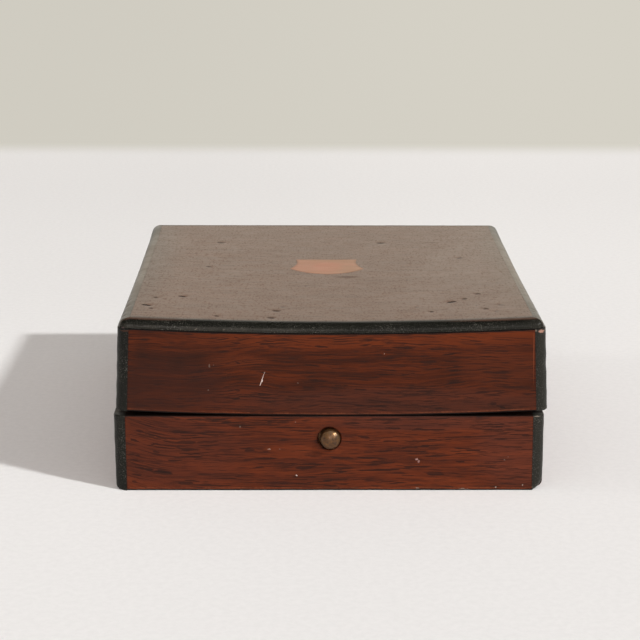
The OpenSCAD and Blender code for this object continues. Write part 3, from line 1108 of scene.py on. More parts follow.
@dataclass
class Section:
    """A board's section, drawn round its corners."""

    corners: list[Corner]
    step: float = 1.2
    margin: float = 0.3
    # How high the painted shade at a foot reaches, in millimetres.
    painted_foot_shade: float = 0.55
    arc_steps: int = 4

    def ring(self, worn: float, foot: float = 0.0) -> tuple[Array, Array, Array]:
        """Draws the section.

        Args:
            worn: How far its arrises are rubbed here, 1 for their own radius.
            foot: The radius of its first arris here, where that is larger than its own.

        Returns:
            The points as depth and height, how near each is to an arris, and whether it is on the inside.
        """
        points, arris, inside = [], [], []
        radii = [corner.radius * (1.0 if corner.foot or corner.rim else worn) for corner in self.corners]
        radii[0] = max(radii[0], foot)
        count = len(self.corners)
        for i, corner in enumerate(self.corners):
            here = np.array([corner.off, corner.z])
            before, after = self.corners[i - 1], self.corners[(i + 1) % count]
            back = np.array([before.off, before.z]) - here
            on = np.array([after.off, after.z]) - here
            back, length = back / np.linalg.norm(back), np.linalg.norm(on)
            on = on / length
            radius, stop = radii[i], length - radii[(i + 1) % count]
            use = np.full(self.arc_steps + 1, -1.0 if corner.joint else 1.0)
            # A foot is painted dark below its shade height, as shade, and rubbed above; a rim is painted
            # dark, as the shade under the closed lid.
            if corner.foot:
                levels = radius * (1 - np.cos(np.linspace(0, math.pi / 2, self.arc_steps + 1)))
                use = ((levels - self.painted_foot_shade) / 0.12).clip(-1.6, 1.0)
            elif corner.rim:
                use = np.linspace(-0.1, -2.6, self.arc_steps + 1).clip(-1.0)
            if corner.radius:
                centre = here + radius * (back + on)
                for k in range(self.arc_steps + 1):
                    turn = math.pi / 2 * k / self.arc_steps
                    points.append(centre - radius * (math.cos(turn) * on + math.sin(turn) * back))
                    arris.append(float(use[k]))
                    inside.append(float(corner.inside))
            else:
                points.append(here)
                arris.append(min(float(use[0]), 0.0))
                inside.append(float(corner.inside))
            steps = max(1, round((length - corner.radius - after.radius) / self.step))
            places = np.linspace(radius, stop, steps + 1)[1:-1]
            if stop - radius > 3 * self.margin:
                places = np.concatenate([[radius + self.margin], places, [stop - self.margin]])
            for k, place in enumerate(places):
                points.append(here + on * place)
                arris.append(-1.0 if corner.rim else float(corner.foot and k == 0))
                inside.append(float(corner.inside and after.inside))
        return np.array(points), np.array(arris), np.array(inside)


def wander(along: Array, seed: int, length: float) -> Array:
    """A value that wanders between about -1 and 1 with the distance along an edge.

    Args:
        along: The distances.
        seed: The seed.
        length: How far apart its swings are.

    Returns:
        One value for each distance.
    """
    draw = np.random.default_rng(seed)
    turns = draw.uniform(0.5, 2.2, 5) * 2 * math.pi / length
    starts = draw.uniform(0, 2 * math.pi, 5)
    return np.sin(np.outer(along, turns) + starts).sum(axis=1) / 3


@dataclass
class Board:
    """A side board of the base or of the lid, mitred behind the square of edging at each end."""

    name: str
    side: Side
    section: Section
    way: Way
    seed: int
    feet: tuple[float, float] = (0.0, 0.0)
    step: float = 1.4
    margin: float = 0.25
    foot_slope: float = 0.128

    def caps(self, off: Array) -> list[list[int]]:
        """The two faces of an end, one against the edging and one in the mitre.

        Args:
            off: The depth of each point of a ring.

        Returns:
            The faces, by the points of a ring.
        """
        count = len(off)
        deep = off > BOX.edging_w + 0.001
        first = next(i for i in range(count) if deep[i] and not deep[i - 1])
        length = int(deep.sum())
        mitre = [(first - 1 + k) % count for k in range(length + 2)]
        butt = [(first + length + k) % count for k in range(count - length)]
        return [butt, mitre]

    def skin(self) -> Skin:
        """Builds the board.

        Returns:
            Its skin.
        """
        half = BOX.side_half(self.side)
        long, short = half - BOX.edging_w, half - BOX.board_t
        even = np.linspace(-short, short, round(2 * short / self.step))
        places = np.concatenate([[-long, self.margin - long], even, [long - self.margin, long]])
        worn = 1 + 0.3 * wander(places, self.seed, 16)
        rings, edges = [], []
        for place, wear in zip(places, worn):
            foot = max(self.feet[0] - self.foot_slope * (place + half),
                       self.feet[1] - self.foot_slope * (half - place))
            points, arris, inside = self.section.ring(wear, foot)
            reach = np.minimum(abs(place), half - np.maximum(points[:, 0], BOX.edging_w))
            rings.append(BOX.on_side(self.side, math.copysign(1, place) * reach, points[:, 0], points[:, 1]))
            edges.append(np.minimum(arris, -0.8 if abs(place) > long - self.margin / 2 else 1.0))
        skin = skin_of_rings(np.stack(rings), arris, inside, self.caps(points[:, 0]))
        skin.arris = np.concatenate(edges)
        return skin.rippled(0.03, 34, self.seed).moved(self.way)

    def make(self, material: Material) -> Piece:
        """Makes the board in a finish."""
        return piece_of(self.name, self.skin(), material, 40)


@dataclass
class Post:
    """A corner edging: a square strip with its outer edge rounded, rubbed away at its foot or head."""

    name: str
    right: bool
    back: bool
    low: float
    high: float
    way: Way
    seed: int
    foot: float = 0.35
    head: float = 0.35
    foot_tall: float = 1.35
    dents: tuple[Dent, ...] = ()
    arc_steps: int = 14

    def plan(self) -> tuple[Array, Array]:
        """The strip's outline seen from above, from its inner corner outwards.

        Returns:
            The points, and how near each is to a rubbed edge.
        """
        radius = BOX.edging_w - BOX.edging_land
        turns = np.linspace(0, math.pi / 2, self.arc_steps + 1)
        curve = BOX.edging_land + radius * np.stack([np.sin(turns), np.cos(turns)], axis=1)
        square = np.array([[0.0, 0.0], [0.0, BOX.edging_w]])
        points = np.concatenate([square, curve, [[BOX.edging_w, 0.0]]])
        rub = np.concatenate([[0.0, 0.2], 0.25 + 0.35 * np.sin(2 * turns), [0.2]])
        return points, rub

    def skin(self) -> Skin:
        """Builds the strip.

        Returns:
            Its skin.
        """
        plan, rub = self.plan()
        tall = self.high - self.low
        foot_top = self.foot * self.foot_tall
        ends = [np.linspace(0, foot_top, 10), np.linspace(foot_top, tall - self.head, 26),
                np.linspace(tall - self.head, tall, 6)]
        levels = np.unique(np.concatenate(ends).round(4))
        sway = wander(levels, self.seed, 12) * 0.05
        rings, edges = [], []
        for level, push in zip(levels, sway):
            near_foot = max(0.0, self.foot - level / self.foot_tall)
            near_head = max(0.0, level - (tall - self.head))
            inset = self.foot - math.sqrt(max(0.0, self.foot**2 - near_foot**2))
            inset += self.head - math.sqrt(max(0.0, self.head**2 - near_head**2))
            share = plan / BOX.edging_w
            out_x = plan[:, 0] - share[:, 0] * (inset + push)
            out_y = plan[:, 1] - share[:, 1] * (inset * 0.5 + push) * share[:, 0]
            x = (BOX.half_w - BOX.edging_w + out_x) * (1 if self.right else -1)
            y = (BOX.half_d - BOX.edging_w + out_y) * (1 if self.back else -1)
            rings.append(np.stack([x, y, np.full(len(x), self.low + level)], 1))
            close = 1.0 if near_foot or near_head else 0.0
            edges.append(np.clip(rub + 0.5 * close, 0, 1))
        skin = skin_of_rings(np.stack(rings))
        skin.arris = np.concatenate(edges)
        return skin.dented(self.dents).moved(self.way)

    def make(self, material: Material) -> Piece:
        """Makes the strip in a finish."""
        return piece_of(self.name, self.skin(), material, 50)


@dataclass
class TopEdging:
    """The quarter round strip along one side of the lid's top, turning half of each corner."""

    name: str
    side: Side
    seed: int
    step: float = 0.7
    dents: tuple[Dent, ...] = ()
    arc_steps: int = 14
    turn_steps: int = 12
    tuck: float = 0.35
    rubbed: float = 0.05

    def ring(self, outer: float, inner: float, swing: float, worn: float) -> Array:
        """The strip's section at one place.

        Args:
            outer: Where the section stands along the side at its face.
            inner: Where it stands at the joint with the top board.
            swing: How far the section has turned round the corner, in radians.
            worn: How much lower the rounding is here, in millimetres.

        Returns:
            The points of the section.
        """
        radius = BOX.edging_w - BOX.edging_land
        rise = BOX.top_edging_h - BOX.edging_land
        turns = np.linspace(math.pi / 2 * 0.97, 0, self.arc_steps + 1)
        tuck, outermost = self.tuck, radius - worn * 0.4
        out = np.concatenate([(radius - worn) * np.cos(turns),
                              [outermost, outermost - tuck * 0.3, outermost - tuck]])
        under = -BOX.edging_land
        up = np.concatenate([(rise - worn * 0.3) * np.sin(turns), [under + tuck, under + tuck * 0.3, under]])
        inner_part = BOX.on_side(self.side, np.full(2, inner), np.full(2, BOX.edging_w),
                                 np.array([BOX.under_edging_z, BOX.top_z]))
        along = outer + out * math.sin(swing)
        off = radius - out * math.cos(swing)
        return np.concatenate([inner_part, BOX.on_side(self.side, along, off, BOX.top_z - rise + up)])

    def skin(self) -> Skin:
        """Builds the strip.

        Returns:
            Its skin.
        """
        half = BOX.side_half(self.side)
        long, corner = half - BOX.edging_w, half - BOX.edging_w + BOX.edging_land
        shares = np.linspace(0, 1, self.turn_steps + 1)
        straight = np.linspace(-long, long, round(2 * long / self.step))[1:-1]
        stations = [(-corner, BOX.edging_land * (1 - s) - long, -s) for s in shares[::-1]]
        stations += [(s, s, 0.0) for s in straight]
        stations += [(corner, long - BOX.edging_land * (1 - s), s) for s in shares]
        rub = wander(np.array([s[0] + 4 * s[2] for s in stations]), self.seed, 9)
        fine = wander(np.array([s[0] + 4 * s[2] for s in stations]), self.seed + 50, 2.6)
        turn = {Side.RIGHT: 1, Side.LEFT: -1}.get(self.side, 0)
        rings = []
        for (o, i, s), r, f in zip(stations, rub, fine):
            worn = self.rubbed * (1 - abs(s)) * min(1, max(0, (40 - turn * o) / 60))
            rings.append(self.ring(o, i, math.pi / 4 * s, worn + 0.05 + 0.02 * r + 0.008 * f))
        turns = np.linspace(math.pi / 2 * 0.97, 0, self.arc_steps + 1)
        # The lower rounding takes a higher arris value: the long strips paint their highlight line there.
        low = np.clip((np.cos(turns) ** 2 - 0.7) / 0.12, 0, 1)
        arris = np.concatenate([[-1.0, 0.1], 0.1 + 0.2 * np.cos(turns) ** 2 + 0.4 * low, [0.2, -1.0, -1.0]])
        skin = skin_of_rings(np.stack(rings), arris)
        return skin.dented(self.dents).moved(BOX.sprung)

    def make(self, material: Material) -> Piece:
        """Makes the strip in a finish."""
        return piece_of(self.name, self.skin(), material, 50)


@dataclass
class Shield:
    """The inlaid shield and the recess that it lies in."""

    width: float = 27.3
    top_width: float = 22.9
    height: float = 24.4
    ear_h: float = 8.9
    hollow: float = 1.3
    swell: float = 1.9
    aside: float = -0.45
    back: float = 1.9
    thickness: float = 1.2
    proud: float = 0.03
    steps: int = 14

    @staticmethod
    def arc(a: Array, b: Array, swell: float, steps: int) -> Array:
        """Points on an arc between two points.

        Args:
            a: The first point.
            b: The last point.
            swell: The arc's height to the right of the way there.
            steps: The number of divisions.

        Returns:
            The points between the ends.
        """
        chord = float(np.linalg.norm(b - a))
        radius = (chord**2 / 4 + swell**2) / (2 * abs(swell))
        side = np.array([b[1] - a[1], a[0] - b[0]]) / chord
        centre = (a + b) / 2 - side * (radius - abs(swell)) * math.copysign(1, swell)
        start = math.atan2(a[1] - centre[1], a[0] - centre[0])
        turn = 2 * math.asin(chord / 2 / radius) * math.copysign(1, swell)
        angles = start + turn * np.arange(1, steps) / steps
        return centre + radius * np.stack([np.cos(angles), np.sin(angles)], axis=1)

    def outline(self) -> Array:
        """The shield's outline.

        Returns:
            Its points, anticlockwise from its foot.
        """
        top, ear = self.height / 2, self.ear_h - self.height / 2
        foot, tip = np.array([0.0, -top]), np.array([self.width / 2, ear])
        shoulder = np.array([self.top_width / 2, top])
        right = np.concatenate([[foot], self.arc(foot, tip, self.swell, self.steps), [tip],
                                self.arc(tip, shoulder, -self.hollow, self.steps), [shoulder]])
        edge = np.linspace(self.top_width / 2, -self.top_width / 2, self.steps)[1:-1]
        across = np.stack([edge, np.full(len(edge), top)], axis=1)
        left = right[:0:-1] * np.array([-1.0, 1.0])
        return np.concatenate([right, across, left]) + np.array([self.aside, self.back])

    def ring(self, share: float, rise: float) -> Array:
        """The outline at one level.

        Args:
            share: How far it is drawn in or out about its middle, 1 for its own size.
            rise: Its height over the top board.

        Returns:
            Its points.
        """
        middle = np.array([self.aside, self.back])
        flat = middle + (self.outline() - middle) * share
        return np.concatenate([flat, np.full((len(flat), 1), BOX.top_z + rise)], axis=1)

    def skin(self) -> Skin:
        """Builds the shield.

        Returns:
            Its skin.
        """
        levels = [(1.0, -self.thickness, 1.0), (1.0, self.proud - 0.06, 1.0), (0.993, self.proud, 0.8)]
        shares = (0.96, 0.9, 0.75, 0.6, 0.45, 0.3, 0.15, 0.04)
        levels += [(s, self.proud, 0.6 if s > 0.95 else 0.0) for s in shares]
        rings = np.stack([self.ring(share, rise) for share, rise, _ in levels])
        skin = skin_of_rings(rings)
        skin.arris = np.repeat([level[2] for level in levels], rings.shape[1])
        return skin.rippled(0.02, 9, 71).moved(BOX.sprung)

    def recess(self) -> Piece:
        """The tool that cuts the shield's place in the top board."""
        skin = skin_of_rings(np.stack([self.ring(1.004, rise) for rise in (-1.25, 2.0)]))
        return piece_of("shield_recess", skin.moved(BOX.sprung))


@dataclass
class TopBoard:
    """The lid's top board, dented by use, with the recess for the shield."""

    step: float = 0.75
    arris_r: float = 0.14
    dark_rim: float = 3.2
    dents: tuple[Dent, ...] = ()

    def places(self, half: float) -> Array:
        """Even places across the board, closer together at its arrises.

        Args:
            half: Half the board's size that way.

        Returns:
            The places, from one arris to the other.
        """
        close = self.arris_r * np.array([0.0, 0.1, 0.3, 0.6, 1.0, 3.0])
        inner = np.linspace(-half + self.step, half - self.step, round(2 * half / self.step))
        return np.concatenate([-half + close, inner, half - close[::-1]])

    def skin(self) -> Skin:
        """Builds the board.

        Returns:
            Its skin.
        """
        long, deep = BOX.half_w - BOX.edging_w, BOX.half_d - BOX.edging_w
        xs, ys = self.places(long), self.places(deep)
        under = np.linspace(deep, -deep, 14)
        rings, edges = [], []
        for x in xs:
            gap = np.minimum(long - abs(x), deep - np.abs(ys))
            rim = np.clip(1 - (deep + ys) / self.dark_rim, 0, 1) ** 2
            short = np.maximum(0, self.arris_r - gap)
            drop = self.arris_r - np.sqrt(self.arris_r**2 - short**2)
            upper = np.stack([np.full(len(ys), x), ys, BOX.top_z - drop], axis=1)
            lower = np.stack([np.full(len(under), x), under, np.full(len(under), BOX.under_top_z)], axis=1)
            rings.append(np.concatenate([upper, lower]))
            edges.append(np.concatenate([-rim, under * 0]))
        inside = np.concatenate([ys * 0, under * 0 + 1])
        skin = skin_of_rings(np.stack(rings), 0.0, inside)
        skin.arris = np.concatenate(edges)
        return skin.rippled(0.008, 30, 5).dented(self.dents).moved(BOX.sprung)

    def make(self, shield: Shield, material: Material) -> Piece:
        """Makes the board.

        Args:
            shield: The shield that is let into it.
            material: Its finish.

        Returns:
            The object.
        """
        piece = piece_of("worn_lid_top", self.skin(), material, 40)
        carve(piece, [shield.recess()], 40)
        return piece


PALE = linear(222, 204, 196)
DUSTY = linear(176, 160, 146)
# A near-black for dirt, and for the painted shade round the push button.
SOOT_AND_SHADE = (0.012, 0.007, 0.005, 1.0)
BASE_DASHES: tuple[Dash, ...] = (
    (-50.5, 16.5, -42.7, 16.5, 0.67), (-43.6, 16.5, -35.5, 16.7, 0.47), (-50.5, 14.6, -41.4, 13.9, 0.54),
    (-47.1, 10.4, -52.8, 10.4, 0.4), (-51.3, 11.3, -40.6, 11.6, 0.47), (-62.9, 7.9, -56.8, 7.1, 0.47),
    (-58.1, 6.5, -50.5, 5.7, 0.67), (-49.7, 2.6, -43.8, 2.6, 0.54), (-47.7, 3.6, -41.6, 3.2, 0.34),
    (-66.3, 10.7, -59.8, 10.0, 0.47), (-66.2, 12.5, -61.0, 12.0, 0.34), (-62.8, 20.5, -59.8, 20.1, 0.4),
    (-60.0, 19.5, -56.1, 18.1, 0.4), (-64.8, 17.8, -61.4, 16.6, 0.4), (-57.4, 18.0, -52.2, 17.8, 0.47),
    (-52.4, 20.3, -44.2, 19.8, 0.47), (-55.3, 16.4, -59.4, 15.2, 0.34), (-41.8, 19.3, -35.5, 18.8, 0.34),
    (-57.5, 13.6, -54.9, 12.9, 0.4), (-24.0, 14.1, -27.7, 13.6, 0.54), (-15.8, 11.1, -29.1, 10.6, 0.54),
    (-11.4, 7.9, -4.9, 7.8, 0.8), (-47.4, 24.4, -30.5, 24.0, 0.34), (-11.8, 23.5, -27.0, 23.1, 0.34),
    (-11.0, 17.6, -17.3, 17.1, 0.34), (-64.7, 5.6, -60.5, 5.3, 0.4), (-64.8, 3.6, -62.3, 2.7, 0.4),
    (-7.9, 9.0, -18.8, 9.4, 0.27), (-26.7, 7.7, -20.6, 8.2, 0.27), (-13.6, 9.1, 0.3, 8.9, 0.34),
    (10.9, 23.2, 3.6, 23.0, 0.34), (24.2, 24.5, 10.9, 24.2, 0.41), (23.6, 21.3, 17.6, 21.0, 0.34),
    (23.4, 20.9, 40.5, 20.7, 0.34), (8.9, 18.5, 13.6, 17.9, 0.41), (17.0, 17.0, 23.2, 16.9, 0.41),
    (38.6, 17.5, 23.7, 16.6, 0.45), (36.0, 15.6, 17.0, 14.1, 0.27), (21.2, 14.0, 14.1, 13.2, 0.34),
    (24.4, 13.4, 32.6, 13.2, 0.27), (43.8, 14.0, 49.6, 13.8, 0.45), (0.3, 11.2, 8.6, 11.1, 0.55),
    (8.3, 11.5, 20.0, 10.7, 0.34), (22.9, 10.0, 12.1, 9.5, 0.55), (7.7, 6.9, 24.7, 7.2, 0.48),
    (0.3, 6.7, 6.4, 6.6, 0.41), (31.2, 6.0, 38.0, 5.6, 0.82), (55.6, 8.6, 43.9, 8.3, 0.41),
    (62.4, 18.9, 65.6, 18.8, 0.48), (48.8, 20.7, 62.6, 20.8, 0.24), (41.0, 10.0, 44.4, 9.8, 0.31),
    (54.4, 4.1, 62.0, 3.9, 0.27), (57.6, 22.7, 45.2, 22.4, 0.27),
)
LID_DASHES: tuple[Dash, ...] = (
    (-32.0, 50.2, -28.3, 49.7, 0.34), (-20.2, 48.8, -16.1, 48.6, 0.34), (-8.2, 42.8, -2.6, 42.3, 0.34),
    (-7.5, 37.7, 0.0, 37.2, 0.4), (-9.5, 35.6, -4.5, 35.1, 0.4), (-15.1, 32.8, -28.9, 32.6, 0.34),
    (-34.3, 31.7, -28.5, 31.3, 0.4), (-30.8, 34.4, -28.7, 34.0, 0.74), (-39.5, 31.6, -47.0, 31.3, 0.27),
    (-63.2, 29.4, -57.4, 28.7, 0.47), (-13.6, 45.1, -9.9, 44.5, 0.34), (-5.4, 49.1, -0.3, 48.5, 0.34),
    (-30.7, 52.0, -28.3, 51.4, 0.34), (-10.1, 29.1, -1.9, 29.3, 0.34), (-30.5, 43.9, -28.6, 43.0, 0.34),
    (15.6, 51.2, 8.6, 50.8, 0.46), (16.9, 50.2, 25.5, 49.7, 0.39), (19.4, 48.6, 28.2, 48.3, 0.46),
    (31.1, 48.1, 37.9, 47.8, 0.46), (18.1, 49.1, 12.9, 49.0, 0.32), (36.4, 43.8, 24.9, 43.5, 0.32),
    (42.7, 46.9, 35.2, 45.8, 0.28), (48.2, 40.4, 59.8, 40.1, 0.6), (52.2, 35.7, 66.5, 35.1, 0.35),
    (51.3, 35.0, 47.0, 34.7, 0.35), (33.9, 32.9, 22.6, 32.5, 0.42), (51.7, 29.8, 54.2, 29.7, 0.7),
    (53.8, 29.3, 57.4, 27.9, 0.49), (39.9, 28.1, 31.5, 28.0, 0.35), (7.6, 34.5, 12.2, 34.3, 0.42),
    (27.7, 39.7, 22.7, 39.4, 0.32), (16.1, 41.1, 22.0, 40.7, 0.32), (11.7, 38.5, 16.2, 38.6, 0.28),
    (54.4, 47.4, 57.5, 47.1, 0.35), (0.2, 35.6, 6.5, 35.8, 0.32), (0.1, 41.5, 6.0, 41.3, 0.28),
)
# A pale veil over the front right corner's posts and strip ends: painted light, where the key light falls
# from the right.
PAINTED_CORNER_LIGHT = Spot((70.0, -80.0, 28.0), (9.0, 9.0, 52.0), linear(118, 112, 102), 0.058)


def on_front(*rows: tuple, deep: float = 3.0) -> tuple[Spot, ...]:
    """Marks on a front, each by its place across and up, its width and height, and then as a Spot goes on."""
    return tuple(Spot((x, -BOX.half_d, z), (wide, deep, high), *rest) for x, z, wide, high, *rest in rows)


def on_top(*rows: tuple, high: float = 4.0) -> tuple[Spot, ...]:
    """Marks on the lid's top, each by its place, its width and depth, and then as a Spot goes on."""
    return tuple(Spot((x, y, BOX.top_z), (wide, deep, high), *rest) for x, y, wide, deep, *rest in rows)


def dents_on_top(*rows: tuple[float, float, float, float]) -> tuple[Dent, ...]:
    """Dents in the lid's top, each by its place, its reach and its depth."""
    return tuple(Dent((x, y, BOX.top_z), reach, depth, (0.0, 0.0, -1.0)) for x, y, reach, depth in rows)


def dirt_in(dent: Dent) -> Spot:
    """The dirt in a dent of the top: crisp in a deep one, soft in a plain one, and duller towards the front.

    Args:
        dent: The dent.

    Returns:
        The mark.
    """
    wide, crisp, plain, near = dent.reach * 0.9, dent.depth > 0.29, dent.depth > 0.19, dent.at[1] <= -30.0
    reach = (wide * 1.35, wide * 0.75 if crisp else max(wide, 1.25), 4.0)
    core, dull = (0.9, 0.95) if crisp else (0.45, 0.5 if near else 0.22) if plain else (0.3, 0.0)
    at = (dent.at[0] + BOX.lid_shift, *dent.at[1:])
    return Spot(at, reach, SOOT_AND_SHADE, min(0.9, dent.depth * 2.8), core, dull)


@dataclass
class BaseBody:
    """The base: four mitred boards on a rebated floor, with a post of edging in each corner."""

    bore_r: float = 3.6
    mouth_chamfer: float = 0.5
    collar_r: float = 4.3
    collar_off: float = 3.2
    button_z: float = 17.8
    front_spots: tuple[Spot, ...] = on_front(
        # The first two marks are painted shade round the push button: a dark ring about its bore and a smudge
        # to its lower left.
        (-0.3, 17.6, 4.3, 4.2, SOOT_AND_SHADE, 0.9), (-4.8, 12.6, 3.2, 1.3, SOOT_AND_SHADE, 0.35),
        (-28.9, 21.9, 0.22, 0.4, DUSTY, 0.2), (-19.5, 14.2, 0.5, 0.18, DUSTY, 0.45),
        (-16.1, 14.2, 0.22, 0.2, DUSTY, 0.25), (-10.6, 5.2, 0.34, 0.34, PALE, 0.8),
        (-11.0, 4.7, 0.9, 0.5, SOOT_AND_SHADE, 0.4), (-11.0, 23.4, 0.3, 0.2, DUSTY, 0.25),
        (28.6, 10.8, 0.5, 0.4, linear(178, 140, 132), 0.6),
        (29.2, 9.9, 0.4, 0.5, linear(178, 140, 132), 0.45), (29.0, 0.9, 0.6, 0.25, DUSTY, 0.45),
        (54.6, 1.2, 0.25, 0.35, DUSTY, 0.5), (57.2, 10.6, 0.25, 0.25, DUSTY, 0.18),
        (58.4, 11.6, 0.2, 0.25, DUSTY, 0.15), (63.4, 1.8, 0.2, 0.4, DUSTY, 0.5),
        (44.0, 0.6, 1.6, 0.18, DUSTY, 0.4),
    )
    front_tints: tuple[Spot, ...] = on_front(
        (62.0, 14.0, 16.0, 15.0, linear(88, 47, 36), 0.4),
        (-50.0, 13.0, 26.0, 17.0, linear(72, 36, 26), 0.45), (30.0, 23.5, 36.0, 3.5, linear(76, 41, 32), 0.5),
    )
    rubbed_feet: dict[tuple[bool, bool], float] = field(default_factory=lambda: {
        (False, False): 0.95, (True, False): 3.4, (False, True): 1.0, (True, True): 1.5})

    def section(self) -> Section:
        """The section of a base board, rebated for the floor.

        Returns:
            The section, from its foot on the face.
        """
        return Section([
            Corner(0, 0, 0.5, foot=True), Corner(0, BOX.base_h, 0.3, joint=True, rim=True),
            Corner(BOX.edging_w, BOX.base_h, rim=True), Corner(BOX.board_t, BOX.base_h, 0.3, True),
            Corner(BOX.board_t, BOX.floor_t, 0, True), Corner(BOX.edging_w, BOX.floor_t),
            Corner(BOX.edging_w, 0),
        ])

    def board(self, side: Side, finish: Mahogany, seed: int, feet: tuple[float, float] = (0, 0)) -> Piece:
        """Makes one board.

        Args:
            side: The side that it closes.
            finish: Its finish.
            seed: The seed of its unevenness.
            feet: How far its lower arris is rubbed away at its ends.

        Returns:
            The object.
        """
        node = f"base_{side.name.lower()}"
        piece = Board(f"worn_{node}", side, self.section(), BOX.straight, seed, feet).make(finish.make())
        return dress(piece, Body.BASE, Slot.MAHOGANY, node)

    def build(self) -> None:
        """Makes the base."""
        flat = Mahogany("floor_mahogany", Grain.DEEP_FLAT, 6.1, polish=0.55)
        front = self.board(Side.FRONT, Mahogany(
            "base_front_mahogany", Grain.SIDEWAYS_UPRIGHT, 2.2, fan=(-45.0, 20.0, 0.32), dashes=BASE_DASHES,
            bold=1.0, dark=linear(69, 31, 18), middle=linear(86, 37, 18), light=linear(104, 46, 22),
            tints=self.front_tints, spots=self.front_spots), 21)
        back = self.board(Side.BACK, Mahogany("base_back_mahogany", Grain.SIDEWAYS_UPRIGHT, 3.7), 22)
        self.board(Side.LEFT, Mahogany("base_left_mahogany", Grain.DEEP_UPRIGHT, 4.4), 23, (0.0, 1.3))
        self.board(Side.RIGHT, Mahogany("base_right_mahogany", Grain.DEEP_UPRIGHT, 5.9), 24, (2.85, 0.0))
        self.bore(front)
        Hinges().let_in(back, BOX.base_h - Hinges.leaf_t, BOX.base_h + 1)
        reach = (BOX.half_w - BOX.edging_w, BOX.half_d - BOX.edging_w)
        floor = block((-reach[0], -reach[1], 0), (reach[0], reach[1], BOX.floor_t), 0.1)
        floor.inside = (floor.points[:, 2] > BOX.floor_t / 2).astype(float)
        dress(piece_of("worn_base_floor", floor, flat.make(), 40), Body.BASE, Slot.MAHOGANY, "base_floor")
        black = EbonisedWood("post_ebony", Grain.UPRIGHT, 1.3, 0.3, spots=(
            PAINTED_CORNER_LIGHT, Spot((67.4, -BOX.half_d, 25.3), (1.3, 1.5, 0.2), DUSTY, 0.4))).make()
        for index, ((right, behind), foot) in enumerate(self.rubbed_feet.items()):
            node = f"base_edging_{corner_name(right, behind)}"
            post = Post(f"worn_{node}", right, behind, 0, BOX.base_h, BOX.straight, 31 + index, foot=foot)
            dress(post.make(black), Body.BASE, Slot.EBONISED, node)

    def bore(self, front: Piece) -> None:
        """Drills the button's hole through the front board.

        Args:
            front: The board.
        """
        profile = [(0, -1), (self.bore_r + self.mouth_chamfer + 1, -1), (self.bore_r, self.mouth_chamfer),
                   (self.bore_r, self.collar_off), (self.collar_r, self.collar_off),
                   (self.collar_r, BOX.board_t + 1), (0, BOX.board_t + 1)]
        carve(front, [piece_of("bore", turned(profile, about_button(self.button_z)))], 40)


def corner_name(right: bool, behind: bool) -> str:
    """What a corner is called in the names of the nodes."""
    return f"{'back' if behind else 'front'}_{'right' if right else 'left'}"


def about_button(z: float) -> Matrix:
    """The place of what is turned about the button's axis, inwards from the front face."""
    return Matrix.Translation((0, -BOX.half_d, z)) @ Matrix.Rotation(-math.pi / 2, 4, "X")


